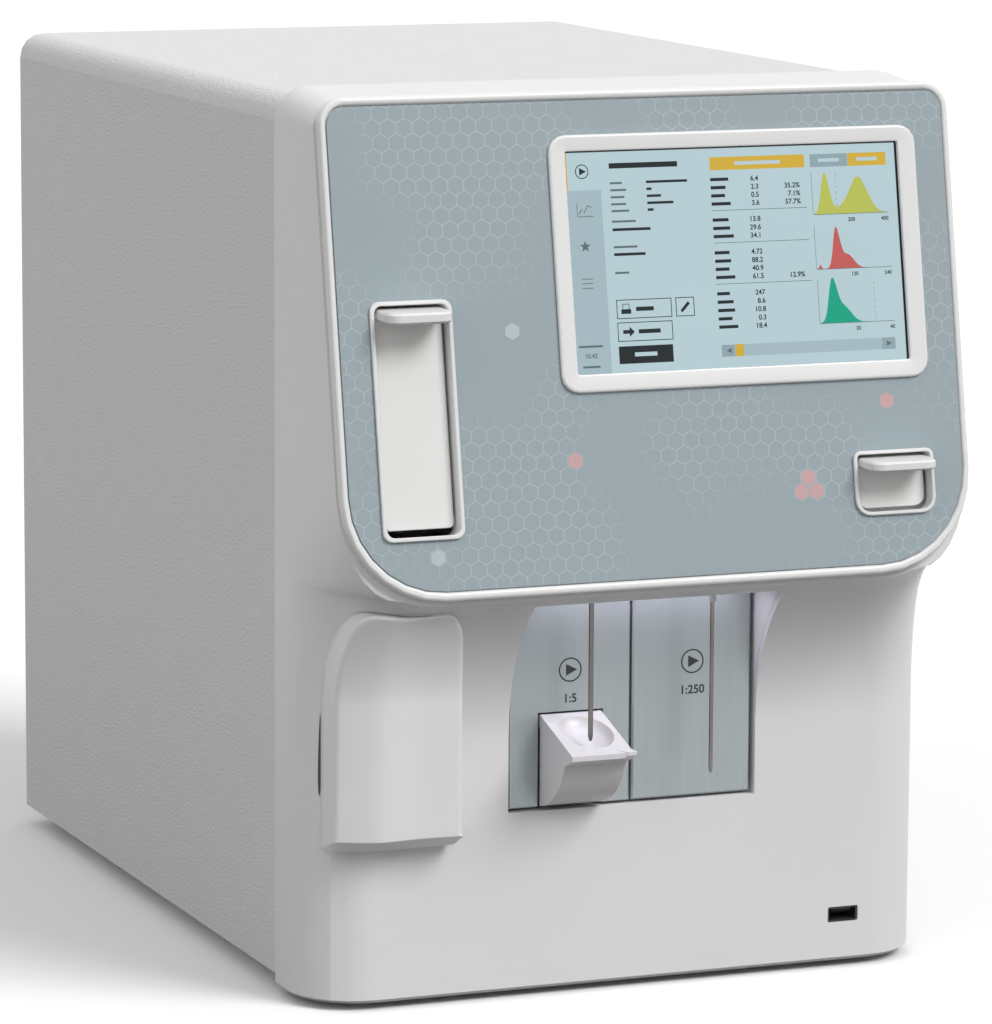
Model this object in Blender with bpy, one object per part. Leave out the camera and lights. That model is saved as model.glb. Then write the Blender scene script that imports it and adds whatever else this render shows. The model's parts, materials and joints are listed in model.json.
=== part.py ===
"""Benchtop hematology analyzer: a moulded front with a tilted control panel, a
needle bay, a tube door, a small drawer and a mixer hood, and a sheet metal cover
behind. Metres, +Z up, and the front faces -Y."""

import math

import bmesh
import bpy
from mathutils import Matrix, Vector

# Clearances and how finely curves are cut
GAP = 0.0003
RUN_GAP = 0.0004
OVERRUN = 0.002
LIMIT = 0.5
CORNER_STEPS = 4
FINE_STEPS = 7
ROUND_SIDES = 20
SMALL_SIDES = 12
SHARP_ANGLE = math.radians(32)

# Body; places across it are insets from its left or right side
BODY_WIDE = 0.295
LEFT_SIDE, RIGHT_SIDE = -BODY_WIDE / 2, BODY_WIDE / 2
BODY_TOP = 0.396
SEAM_Y = -0.144
REAR_Y = 0.2275
SHELL_BOTTOM = 0.0033
SHELL_WALL = 0.003
FRONT_Y = -0.1896
SIDE_START = 0.0306
SIDE_START_Y = FRONT_Y + SIDE_START
BOTTOM_EDGE = 0.0015
PANEL_BOTTOM_Z = 0.185
FLARE_Z = 0.116
FLARE_REACH = 0.039515
FLARE_RADIUS = ((PANEL_BOTTOM_Z - FLARE_Z) ** 2 + FLARE_REACH ** 2) / FLARE_REACH / 2
LOW_CORNER = 0.030
SHOULDER_RADIUS = 0.014
TOP_RAMP = 0.0015
TOP_DIP = 0.0032
CREST_AHEAD, CREST_LONG, DIP_LONG = 0.003, 0.004, 0.035
CREST_Y = SEAM_Y - CREST_AHEAD
CREST_END_Y = CREST_Y - CREST_LONG
DIP_Y = CREST_END_Y - DIP_LONG

# Tilted panel: places on it are x, s up its slope from its bottom edge and h outward
PANEL_AHEAD = 0.002535
PANEL_BOTTOM_Y = FRONT_Y - FLARE_REACH - PANEL_AHEAD
SEAT_REACH = 0.006
PANEL_TILT = math.radians(10.27)
PANEL_TOP_DROP = 0.001
PANEL_HIGH = (BODY_TOP - PANEL_TOP_DROP - PANEL_BOTTOM_Z) / math.cos(PANEL_TILT)
PANEL_INSET = 0.00166
PANEL_HALF = RIGHT_SIDE - PANEL_INSET
PANEL_LOW_CORNER = 0.0443
PANEL_TOP_CORNER = 0.0122
RIM_DEEP = 0.0055
RIM_STEP = 0.0019
RIM_SIDE = 0.0031
RIM_END = 0.0041
OVERLAY_THICK = 0.001
OVERLAY_DOWN = 0.0006

# Screen, as x, x, s, s and a corner radius
BEZEL_LEFT_INSET, BEZEL_RIGHT_INSET = 0.1036, 0.0190
BEZEL_LEFT, BEZEL_RIGHT = LEFT_SIDE + BEZEL_LEFT_INSET, RIGHT_SIDE - BEZEL_RIGHT_INSET
BEZEL_LOW_SHARE, BEZEL_HIGH_INSET = 0.3964, 0.0191
BEZEL_LOW, BEZEL_HIGH = PANEL_HIGH * BEZEL_LOW_SHARE, PANEL_HIGH - BEZEL_HIGH_INSET
BEZEL_CORNER = 0.0078
BEZEL_PROUD = 0.0012
BEZEL_LEFT_WIDE, BEZEL_RIGHT_WIDE = 0.0074, 0.0082
BEZEL_LOW_WIDE, BEZEL_HIGH_WIDE = 0.0077, 0.0069
SCREEN_LEFT, SCREEN_RIGHT = BEZEL_LEFT + BEZEL_LEFT_WIDE, BEZEL_RIGHT - BEZEL_RIGHT_WIDE
SCREEN_LOW, SCREEN_HIGH = BEZEL_LOW + BEZEL_LOW_WIDE, BEZEL_HIGH - BEZEL_HIGH_WIDE
SCREEN_CORNER = 0.001
BEZEL_LIP = 0.0012
GLASS_MARGIN = 0.0018
GLASS_THICK = 0.0011
LCD_MARGIN = 0.0045
LCD_THICK = 0.009

# Tube door
DOOR_INSET = 0.0371
DOOR_X = LEFT_SIDE + DOOR_INSET
DOOR_HALF = 0.0155
DOOR_LOW, DOOR_HIGH = 0.0310, 0.1243
DOOR_THICK = 0.0024
DOOR_RECESS = 0.004
DOOR_CORNER = 0.0024
DOOR_EDGE = 0.0008
DOOR_SIDE_GAP = 0.0011
DOOR_LOW_GAP = 0.0031
DOOR_HIGH_GAP = 0.0009
DOOR_BAND = 0.0018
RING_CORNER = 0.0043
RING_PROUD = 0.001
RING_FLANGE = 0.0007
RING_DEEP = 0.0095
LIP_REACH = 0.0196
LIP_THICK = 0.0048
LIP_HALF = 0.0148
LIP_CORNER = 0.006
LIP_ROOT = 0.0012
DOOR_PIN_S = 0.0345
DOOR_PIN_H = -0.0092
DOOR_PIN_RADIUS = 0.0012
DOOR_EAR_RADIUS = 0.0026
DOOR_EAR_WIDE = 0.004
HOLDER_RADIUS = 0.009
HOLDER_BORE = 0.007
HOLDER_LOW, HOLDER_HIGH = 0.044, 0.104
HOLDER_FLOOR = 0.002
HOLDER_BACK = 0.0185

# Small drawer
DRAWER_INSET = 0.0385
DRAWER_X = RIGHT_SIDE - DRAWER_INSET
DRAWER_HALF = 0.0164
DRAWER_LOW, DRAWER_HIGH = 0.0286, 0.0510
DRAWER_RECESS = 0.0043
DRAWER_THICK = 0.0022
DRAWER_CORNER = 0.0052
DRAWER_TOP_CORNER = 0.0018
DRAWER_SIDE_GAP = 0.0011
DRAWER_LOW_GAP = 0.0016
DRAWER_HIGH_GAP = 0.0009
DRAWER_BAND = 0.0016
DRAWER_LIP_REACH = 0.0189
DRAWER_LIP_THICK = 0.0042
TRAY_LONG = 0.058
TRAY_HIGH = 0.0165
TRAY_WALL = 0.0014
TRAY_INSET = 0.0012
TRAY_WELL_RADIUS = 0.0062
TRAY_WELL_FLOOR = 0.002
HOUSING_WALL = 0.0013
HOUSING_LONG = 0.056
HOUSING_FLANGE, HOUSING_FLANGE_THICK = 0.0025, 0.002
SHELL_HOLE_DEEP = 0.015

# Needle bay; places across it are shares of its width
BAY_LEFT_INSET, BAY_RIGHT_INSET = 0.0907, 0.0873
BAY_LEFT, BAY_RIGHT = LEFT_SIDE + BAY_LEFT_INSET, RIGHT_SIDE - BAY_RIGHT_INSET
BAY_LOW, BAY_HIGH = 0.0823, 0.178
LINER_WALL = 0.0015
BAY_DEEP = 0.0438
BAY_BACK_Y = FRONT_Y + BAY_DEEP
PLATE_BEHIND = 0.0016
PLATE_FRONT_Y = FRONT_Y + PLATE_BEHIND
PLATE_THICK = 0.0025
PLATE_SPLIT_SHARE = 0.497436
PLATE_SPLIT_X = BAY_LEFT + (BAY_RIGHT - BAY_LEFT) * PLATE_SPLIT_SHARE
PLATE_SPLIT = 0.001
PLATE_LEFT_GAP = 0.0006
PLATE_RIGHT_GAP = 0.0019
PLATE_LOW_GAP = 0.0013
PLATE_HIGH_GAP = 0.0008
PLATE_CORNER = 0.0008
POST_RADIUS = 0.0025
POST_LONG = 0.0065
POST_IN_SHARE = 0.16
POST_LOW_SHARE = 0.55
POST_HIGH_SHARE = 0.90
CARRIER_BEHIND = 0.0055
CARRIER_Y = PLATE_FRONT_Y + CARRIER_BEHIND
CARRIER_THICK = 0.002

# Cup
CUP_SHARES = (0.130769, 0.375214)
CUP_LEFT, CUP_RIGHT = (BAY_LEFT + (BAY_RIGHT - BAY_LEFT) * share for share in CUP_SHARES)
CUTOUT_SIDE = 0.001
CUTOUT_TOP = 0.1253
CUP_TOP_Z = 0.1245
CUP_PIN_BEHIND = 0.0065
CUP_PIN_Y = PLATE_FRONT_Y + CUP_PIN_BEHIND
CUP_PIN_Z = 0.121
CUP_PIN_RADIUS = 0.001
CUP_EAR_RADIUS = 0.0026
CUP_EAR_WIDE = 0.003
CUP_SLOPE = math.radians(17.6)
CUP_ARC = 0.0375
CUP_REACH = 0.0385
CUP_LIP_THICK = 0.0022
CUP_LIP_TURN = 8
CUP_FLARE = 0.0012
CUP_BEAK = 0.0042
CUP_WALL = 0.0022
CUP_DISH = 0.006
DISH_PLACE_SHARE = 0.47
DISH_LONG_SHARE = 1.2
DISH_FLOOR_SHARE = 0.25
CHEEK_WIDE, CHEEK_HIGH, CHEEK_PROUD = 0.003, 0.0022, 0.0007
CUP_PIN_IN = 0.002

# Needles and their lift
NEEDLE_AHEAD = 0.0179
NEEDLE_Y = FRONT_Y - NEEDLE_AHEAD
NEEDLE_SHARES = (0.263248, 0.748718)
NEEDLE_LEFT_X, NEEDLE_RIGHT_X = (
    BAY_LEFT + (BAY_RIGHT - BAY_LEFT) * share for share in NEEDLE_SHARES)
NEEDLE_LEFT_TIP, NEEDLE_RIGHT_TIP = 0.1156, 0.0974
NEEDLE_LEFT_RADIUS, NEEDLE_RIGHT_RADIUS = 0.0011, 0.0009
NEEDLE_TOP = 0.2205
NEEDLE_HOLE = 0.0009
FERRULE_RADIUS = 0.0017
FERRULE_DOWN = 0.002
FERRULE_UP = 0.003
CARRIAGE_LOW, CARRIAGE_HIGH = 0.204, 0.215
CARRIAGE_HALF = 0.0065
CARRIAGE_FRONT = 0.002
CARRIAGE_BACK = 0.006
ROD_BEHIND = 0.027
ROD_Y = NEEDLE_Y + ROD_BEHIND
ROD_RADIUS = 0.0025
FRAME_TOP = 0.262
FRAME_PLATE = 0.0025
FRAME_AHEAD, FRAME_DEEP = 0.0085, 0.019
FRAME_FRONT_Y = ROD_Y - FRAME_AHEAD
FRAME_BACK_Y = FRAME_FRONT_Y + FRAME_DEEP
FRAME_SIDE = 0.010

# Lamp in the bay ceiling
LAMP_SHARES = (0.109402, 0.912821)
LAMP_LEFT, LAMP_RIGHT = (BAY_LEFT + (BAY_RIGHT - BAY_LEFT) * share for share in LAMP_SHARES)
LAMP_AHEAD, LAMP_DEEP = 0.0129, 0.010
LAMP_FRONT_Y = FRONT_Y - LAMP_AHEAD
LAMP_BACK_Y = LAMP_FRONT_Y + LAMP_DEEP
LAMP_HIGH = 0.0045
LAMP_FLANGE = 0.0015

# Mixer behind the hood
HOOD_INSET, HOOD_WIDE, HOOD_WIDE_TOP = 0.0077, 0.0573, 0.0523
HOOD_LEFT = LEFT_SIDE + HOOD_INSET
HOOD_RIGHT, HOOD_RIGHT_TOP = HOOD_LEFT + HOOD_WIDE, HOOD_LEFT + HOOD_WIDE_TOP
HOOD_LOW, HOOD_SHOULDER, HOOD_DIP = 0.072, 0.1784, 0.1773
HOOD_DIP_SHARES = (0.43, 0.66)
HOOD_AHEAD = 0.0149
HOOD_FRONT_Y = FRONT_Y - HOOD_AHEAD
HOOD_BULGE, HOOD_BULGE_IN, HOOD_BULGE_WIDE = 0.0035, 0.0198, 0.022
HOOD_BULGE_X = HOOD_LEFT + HOOD_BULGE_IN
HOOD_OVER_FLARE = 0.0026
HOOD_BLEND = 0.004
HOOD_BEVEL_Z = 0.077
HOOD_WALL = 0.002
HOOD_HOLLOW_TOP = 0.152
HOOD_CORNER, HOOD_EDGE = 0.008, 0.003
HOOD_SHOULDER_RADIUS, HOOD_TOP_RADIUS = 0.0105, 0.006
HOOD_ROWS = 14
HOOD_BEHIND = 0.0246
HOOD_BACK_Y = FRONT_Y + HOOD_BEHIND
SLOT_LOW, SLOT_HIGH, SLOT_DEEP = 0.095, 0.130, 0.0022
HOOD_PIN_AHEAD, HOOD_PIN_UP, HOOD_PIN_RADIUS = 0.0022, 0.0016, 0.0008
HOOD_PIN_Y, HOOD_PIN_Z = FRONT_Y - HOOD_PIN_AHEAD, HOOD_LOW + HOOD_PIN_UP
HOOD_KNUCKLE, HOOD_KNUCKLE_WIDE = 0.0017, 0.005
HOOD_LUG_WIDE, HOOD_LUG_IN, HOOD_LUG_APART = 0.005, 0.0338, 0.024
HOOD_LUG_X = HOOD_LEFT + HOOD_LUG_IN
HOOD_BACK_GAP = 0.0009
WELL_IN_LEFT, WELL_IN_RIGHT = 0.0088, 0.010
WELL_LEFT, WELL_RIGHT = HOOD_LEFT + WELL_IN_LEFT, HOOD_RIGHT - WELL_IN_RIGHT
WELL_LOW, WELL_HIGH = 0.0855, 0.1655
WELL_DEEP = 0.0701
WELL_BACK_Y = FRONT_Y + WELL_DEEP
ROTOR_BEHIND, ROTOR_DOWN = 0.0291, 0.040
ROTOR_Y, ROTOR_Z = FRONT_Y + ROTOR_BEHIND, WELL_HIGH - ROTOR_DOWN
ROTOR_RADIUS = 0.0365
ROTOR_HALF = 0.017
ROTOR_WIDE = 0.022
ROTOR_SHAFT = 0.002
ROTOR_HUB, ROTOR_HUB_LONG = 0.006, 0.004
TUBE_BORE = 0.0068
TUBE_OFFSET = 0.0091
WELL_WALL = 0.0015
MIXER_MOTOR_RADIUS = 0.013
MIXER_MOTOR_LONG = 0.021

# Small things of the front
USB_INSET, USB_WIDE = 0.0506, 0.0147
USB_LEFT = RIGHT_SIDE - USB_INSET
USB_RIGHT = USB_LEFT + USB_WIDE
USB_LOW, USB_HIGH = 0.0208, 0.0278
USB_CORNER = 0.0008
USB_DEEP = 0.014
USB_FRAME = 0.0006
USB_TONGUE = 0.0016

# Cover, floor and rear
COVER_INSET, COVER_DROP = 0.0005, 0.0033
COVER_HALF = RIGHT_SIDE - COVER_INSET
COVER_LOW = 0.0085
COVER_TOP = BODY_TOP - COVER_DROP
COVER_RADIUS = 0.0116
COVER_SHEET = 0.002
BASE_SHEET = 0.002
BASE_AHEAD = 0.010
BASE_FRONT_Y = SEAM_Y - BASE_AHEAD
FOOT_RADIUS = 0.008
FOOT_TAPER = 0.001
FOOT_SIDE_INSET, FOOT_FRONT_INSET, FOOT_REAR_INSET = 0.0295, 0.0296, 0.0225
FOOT_X = RIGHT_SIDE - FOOT_SIDE_INSET
FRONT_FOOT_Y = FRONT_Y + FOOT_FRONT_INSET
REAR_FOOT_Y = REAR_Y - FOOT_REAR_INSET
REAR_SHEET = 0.002
REAR_INSET = 0.0015
VENT_WIDE, VENT_HIGH, VENT_PITCH = 0.050, 0.003, 0.008
VENT_COUNT = 6
VENT_INSET, VENT_DROP = 0.0875, 0.096
VENT_X, VENT_Z = LEFT_SIDE + VENT_INSET, BODY_TOP - VENT_DROP

# Fan
FAN_INSET, FAN_DROP = 0.0725, 0.096
FAN_X, FAN_Z = RIGHT_SIDE - FAN_INSET, BODY_TOP - FAN_DROP
FAN_HALF = 0.030
FAN_THICK = 0.015
FAN_CORNER = 0.004
FAN_BORE = 0.0275
FAN_HUB = 0.010
FAN_SPIDER = 0.0025
FAN_BLADES = 7
FAN_BLADE_TIP = 0.0262
FAN_BLADE_TURN = math.radians(38)
FAN_BLADE_THICK = 0.0012
FAN_BLADE_DEEP = 0.009
FAN_PIN = 0.0015
GUARD_WIRE = 0.0018
GUARD_RINGS = 3
GUARD_RADIUS = 0.0290
GUARD_HUB = 0.005
GUARD_THICK = 0.0012

# Mains inlet with its switch, and the ports
INLET_INSET, INLET_Z = 0.0425, 0.060
INLET_X = RIGHT_SIDE - INLET_INSET
INLET_HALF_WIDE, INLET_HALF_HIGH = 0.0150, 0.026
INLET_FLANGE = 0.003
INLET_PROUD = 0.0025
INLET_DEEP = 0.024
INLET_CORNER = 0.0015
SOCKET_HALF_WIDE, SOCKET_HALF_HIGH, SOCKET_Z_DOWN = 0.0122, 0.0085, 0.012
SOCKET_DEEP = 0.016
SOCKET_PIN_WIDE, SOCKET_PIN_HIGH, SOCKET_PIN_SPREAD = 0.002, 0.004, 0.007
SWITCH_HALF_WIDE, SWITCH_HALF_HIGH, SWITCH_Z_UP = 0.0095, 0.0062, 0.0135
SWITCH_PROUD, SWITCH_PEAK, SWITCH_IN, SWITCH_IN_HALF = 0.0012, 0.0022, 0.0040, 0.0030
SWITCH_DEEP, SWITCH_CLEAR = 0.0075, 0.0008
SWITCH_TILT = math.radians(-8)
SWITCH_AXLE, SWITCH_AXLE_IN = 0.0012, 0.0015
PORT_INSET, PORT_Z, PORT_PITCH = 0.0425, 0.055, 0.022
PORT_X = LEFT_SIDE + PORT_INSET
PORT_COUNT = 4
PORT_PLATE_HIGH, PORT_PLATE_THICK = 0.016, 0.002
PORT_COLLAR, PORT_BARB, PORT_TUBE, PORT_HOLE = 0.0060, 0.0034, 0.0026, 0.0014
PORT_COLLAR_LONG, PORT_LONG, PORT_IN = 0.0045, 0.0112, 0.008
DATA_INSET, DATA_Z, DATA_PITCH = 0.1175, 0.130, 0.022
DATA_X = RIGHT_SIDE - DATA_INSET
DATA_COUNT = 3
DATA_HALF_WIDE, DATA_HALF_HIGH = 0.0075, 0.0062
DATA_PLATE, DATA_WALL, DATA_DEEP = 0.0015, 0.0012, 0.014

# What stands on the floor
SUPPLY_INSET, SUPPLY_RIGHT = 0.0125, -0.050
SUPPLY_LEFT = LEFT_SIDE + SUPPLY_INSET
SUPPLY_BEHIND, SUPPLY_LONG, SUPPLY_HIGH = 0.0375, 0.130, 0.040
SUPPLY_BACK_Y = REAR_Y - SUPPLY_BEHIND
SUPPLY_FRONT_Y = SUPPLY_BACK_Y - SUPPLY_LONG
SUPPLY_SLOTS = 5
SUPPLY_SLOT_WIDE, SUPPLY_SLOT_DEEP, SUPPLY_SLOT_PITCH = 0.003, 0.0015, 0.015
BOARD_LEFT, BOARD_INSET, BOARD_BEHIND, BOARD_LONG = 0.0, 0.0575, 0.0475, 0.130
BOARD_RIGHT = RIGHT_SIDE - BOARD_INSET
BOARD_BACK_Y = REAR_Y - BOARD_BEHIND
BOARD_FRONT_Y = BOARD_BACK_Y - BOARD_LONG
BOARD_THICK, BOARD_UP, BOARD_POST = 0.0016, 0.010, 0.003
BOARD_POST_IN = 0.008
CHIP_HALF, CHIP_HIGH, CHIP_SPREAD = 0.010, 0.004, 0.018
PUMP_INSET, PUMP_WIDE = 0.0225, 0.055
PUMP_RIGHT = RIGHT_SIDE - PUMP_INSET
PUMP_LEFT = PUMP_RIGHT - PUMP_WIDE
PUMP_FRONT_Y, PUMP_BACK_Y, PUMP_HIGH = -0.110, -0.060, 0.110
PUMP_BORE, PUMP_ROD, PUMP_HEAD = 0.0075, 0.0066, 0.009
PUMP_BARREL_DEEP, PUMP_ROD_LONG, PUMP_HEAD_THICK = 0.070, 0.086, 0.005
PUMP_SPREAD = 0.013
VALVE_INSET, VALVE_WIDE = 0.0275, 0.050
VALVE_LEFT = LEFT_SIDE + VALVE_INSET
VALVE_RIGHT = VALVE_LEFT + VALVE_WIDE
VALVE_FRONT_Y, VALVE_BACK_Y, VALVE_HIGH = -0.060, -0.030, 0.070
VALVE_COIL, VALVE_COIL_LONG = 0.007, 0.022
VALVE_COUNT_UP, VALVE_COUNT_ACROSS = 3, 2
CHAMBER_X, CHAMBER_Y = 0.000, -0.070
CHAMBER_RADIUS, CHAMBER_HIGH, CHAMBER_WALL = 0.018, 0.050, 0.0025
CHAMBER_POST, CHAMBER_BASE, CHAMBER_UP = 0.006, 0.003, 0.070


# Derived places
FLOOR_Z = SHELL_BOTTOM + SHELL_WALL + GAP
BASE_TOP = FLOOR_Z + BASE_SHEET
STAND_Z = BASE_TOP + GAP
SEAT_H = -RIM_DEEP - GAP
OVERLAY_FRONT_H = -OVERLAY_DOWN
OVERLAY_BACK_H = OVERLAY_FRONT_H - OVERLAY_THICK
PANEL = Matrix((
    (1, 0, 0, 0),
    (0, math.sin(PANEL_TILT), -math.cos(PANEL_TILT), PANEL_BOTTOM_Y),
    (0, math.cos(PANEL_TILT), math.sin(PANEL_TILT), PANEL_BOTTOM_Z),
    (0, 0, 0, 1),
))
WORLD = Matrix.Identity(4)
# Looks at the front: outline x, outline y and height become x, z and -y
FACING = Matrix(((1, 0, 0, 0), (0, 0, -1, 0), (0, 1, 0, 0), (0, 0, 0, 1)))
# Looks from the right side: outline x, outline y and height become y, z and x
SIDEWAYS = Matrix(((0, 0, 1, 0), (1, 0, 0, 0), (0, 1, 0, 0), (0, 0, 0, 1)))


def on_panel(x, s, h):
    """The world point of a place on the panel."""
    return PANEL @ Vector((x, s, h))


# Materials
def material(name, colour, roughness, metallic=0.0, alpha=1.0):
    made = bpy.data.materials.new(name)
    made.use_nodes = True
    shader = made.node_tree.nodes["Principled BSDF"]
    shader.inputs["Base Color"].default_value = (*colour, 1.0)
    shader.inputs["Roughness"].default_value = roughness
    shader.inputs["Metallic"].default_value = metallic
    shader.inputs["Alpha"].default_value = alpha
    made.diffuse_color = (*colour, 1.0)
    return made


# Building blocks
def keep(name, mesh, finish=None):
    """Puts a mesh in the scene as an object and shades its curves smooth."""
    made = bpy.data.objects.new(name, mesh)
    bpy.context.scene.collection.objects.link(made)
    if finish:
        mesh.materials.clear()
        mesh.materials.append(finish)
    mesh.shade_smooth()
    mesh.set_sharp_from_angle(angle=SHARP_ANGLE)
    return made


def from_bmesh(name, work, finish=None):
    bmesh.ops.recalc_face_normals(work, faces=work.faces)
    mesh = bpy.data.meshes.new(name)
    work.to_mesh(mesh)
    work.free()
    return keep(name, mesh, finish)


def remove(unwanted):
    mesh = unwanted.data
    bpy.data.objects.remove(unwanted)
    bpy.data.meshes.remove(mesh)


def combine(target, tools, operation):
    """Joins, cuts or intersects a list of solids with the target, and removes them."""
    for tool in tools:
        modifier = target.modifiers.new(operation.lower(), "BOOLEAN")
        modifier.operation = operation
        modifier.solver = "EXACT"
        modifier.object = tool
        bpy.context.view_layer.update()
        seen = target.evaluated_get(bpy.context.evaluated_depsgraph_get())
        result = bpy.data.meshes.new_from_object(seen)
        target.modifiers.clear()
        old = target.data
        target.data = result
        bpy.data.meshes.remove(old)
        remove(tool)
    target.data.shade_smooth()
    target.data.set_sharp_from_angle(angle=SHARP_ANGLE)
    return target


def cut(target, *tools):
    return combine(target, tools, "DIFFERENCE")


def join(target, *tools):
    return combine(target, tools, "UNION")


def trim(target, *tools):
    return combine(target, tools, "INTERSECT")


def loft(name, rings, finish=None, closed=False):
    """A skin over rings of equally many points: capped, or closed like a frame."""
    work = bmesh.new()
    rows = [[work.verts.new(point) for point in ring] for ring in rings]
    pairs = list(zip(rows, rows[1:]))
    if closed:
        pairs.append((rows[-1], rows[0]))
    for low, high in pairs:
        for i in range(len(low)):
            j = (i + 1) % len(low)
            work.faces.new((low[i], low[j], high[j], high[i]))
    if not closed:
        work.faces.new(list(reversed(rows[0])))
        work.faces.new(rows[-1])
    return from_bmesh(name, work, finish)


def rounded(x0, x1, y0, y1, radii=0, steps=CORNER_STEPS):
    """A rectangle's outline; radii are one value or low left, low right, high right, high left."""
    if not isinstance(radii, tuple):
        radii = (radii,) * 4
    points = []
    corners = ((x0, y0, 1, 1, 180), (x1, y0, -1, 1, 270), (x1, y1, -1, -1, 0), (x0, y1, 1, -1, 90))
    for (x, y, to_x, to_y, start), radius in zip(corners, radii):
        if radius <= 0:
            points.append((x, y))
            continue
        for step in range(steps + 1):
            turn = math.radians(start) + math.pi / 2 * step / steps
            points.append((
                x + to_x * radius + radius * math.cos(turn),
                y + to_y * radius + radius * math.sin(turn),
            ))
    return points


def disc(x, y, radius, sides=SMALL_SIDES):
    turns = (math.tau * i / sides for i in range(sides))
    return [(x + radius * math.cos(t), y + radius * math.sin(t)) for t in turns]


def lifted(outline, height, matrix=WORLD):
    return [matrix @ Vector((x, y, height)) for x, y in outline]


def prism(name, outline, low, high, matrix=WORLD, finish=None):
    return loft(name, [lifted(outline, low, matrix), lifted(outline, high, matrix)], finish)


def box(name, x, y, z, finish=None):
    """A block between pairs of x, y and z."""
    return prism(name, rounded(x[0], x[1], y[0], y[1]), z[0], z[1], WORLD, finish)


def stack(name, levels, matrix=WORLD, finish=None):
    """A capped solid through (outline, height) levels."""
    return loft(name, [lifted(outline, height, matrix) for outline, height in levels], finish)


def turned(name, profile, x, y, z, axis="Z", sides=ROUND_SIDES, finish=None):
    """A solid turned about a line along X, Y or Z; the profile holds (radius, distance)."""
    turns = {"Z": WORLD, "Y": FACING, "X": SIDEWAYS}
    matrix = Matrix.Translation((x, y, z)) @ turns[axis]
    rings = [lifted(disc(0, 0, radius, sides), along, matrix) for radius, along in profile]
    return loft(name, rings, finish)


def rod(name, radius, low, high, x, y, z, axis="Z", sides=SMALL_SIDES, finish=None):
    return turned(name, [(radius, low), (radius, high)], x, y, z, axis, sides, finish)


def shrunk(rect, inset_x, inset_y=None):
    inset_y = inset_x if inset_y is None else inset_y
    return rect[0] + inset_x, rect[1] - inset_x, rect[2] + inset_y, rect[3] - inset_y


def between(outer, inner, share):
    """A rectangle part of the way from an outer to an inner one."""
    return tuple(a + (b - a) * share for a, b in zip(outer, inner))


def empty_at(name, place):
    made = bpy.data.objects.new(name, None)
    made.location = place
    bpy.context.scene.collection.objects.link(made)
    bpy.context.view_layer.update()
    return made


def carried(parent, *children):
    """Parents the pieces of a moving body to the empty on its joint's axis."""
    for child in children:
        child.parent = parent
        child.matrix_parent_inverse = parent.matrix_world.inverted()


WHITE = material("white_plastic", (0.78, 0.78, 0.77), 0.38)
SHELL_WHITE = material("shell_plastic", (0.70, 0.70, 0.70), 0.42)
GREY = material("panel_grey", (0.33, 0.39, 0.41), 0.45)
PLATE_GREY = material("plate_grey", (0.30, 0.34, 0.34), 0.30)
GLASS = material("screen_glass", (0.55, 0.68, 0.72), 0.08)
BLACK = material("black_plastic", (0.02, 0.02, 0.022), 0.5)
COVER_PAINT = material("cover_paint", (0.70, 0.69, 0.68), 0.6)
STEEL = material("steel", (0.62, 0.62, 0.63), 0.25, 1.0)
RUBBER = material("rubber", (0.03, 0.03, 0.03), 0.85)
CLEAR_WHITE = material("milky_plastic", (0.88, 0.88, 0.90), 0.35)
BOARD_GREEN = material("board_green", (0.02, 0.16, 0.07), 0.5)
LAMP_WHITE = material("lamp_white", (0.90, 0.88, 0.95), 0.4)


# Housing form, shared by the front shell, its hollow and what must clear it
def front_line(z):
    """Where the middle of the front lies at a height: vertical, flared, then tilted."""
    if z <= FLARE_Z:
        return FRONT_Y
    if z < PANEL_BOTTOM_Z:
        rise = z - FLARE_Z
        return FRONT_Y - FLARE_RADIUS + math.sqrt(FLARE_RADIUS ** 2 - rise ** 2)
    return PANEL_BOTTOM_Y + (z - PANEL_BOTTOM_Z) * math.tan(PANEL_TILT)


def front_slope(z):
    """The front's forward lean at a height, as metres per metre."""
    if z <= FLARE_Z:
        return 0
    if z < PANEL_BOTTOM_Z:
        rise = z - FLARE_Z
        return rise / math.sqrt(FLARE_RADIUS ** 2 - rise ** 2)
    return math.tan(PANEL_TILT)


def corner_wide(z):
    """How far the elliptical corner reaches in from the side at a height."""
    at_panel = BODY_WIDE / 2 - PANEL_HALF + PANEL_LOW_CORNER
    if z < PANEL_BOTTOM_Z:
        share = max(0, (z - FLARE_Z) / (PANEL_BOTTOM_Z - FLARE_Z))
        eased = share * share * (3 - 2 * share)
        return LOW_CORNER + (at_panel - LOW_CORNER) * eased
    up = (z - PANEL_BOTTOM_Z) / math.cos(PANEL_TILT)
    left = max(0, PANEL_LOW_CORNER - up)
    return at_panel - math.sqrt(PANEL_LOW_CORNER ** 2 - left ** 2)


def plan_ring(z, inset, rear, height):
    """The housing's outline seen from above, from its rear left round the front."""
    half = BODY_WIDE / 2 - inset
    wide = corner_wide(z)
    front = front_line(z) + inset * math.hypot(1, front_slope(z))
    long = SIDE_START_Y + inset - front
    points = [(-half, rear)]
    for step in range(FINE_STEPS + 1):
        turn = math.pi / 2 * step / FINE_STEPS
        points.append((
            -half + wide * (1 - math.cos(turn)),
            front + long * (1 - math.sin(turn)),
        ))
    points += [(-x, y) for x, y in reversed(points)]
    return [Vector((x, y, height)) for x, y in points]


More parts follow.
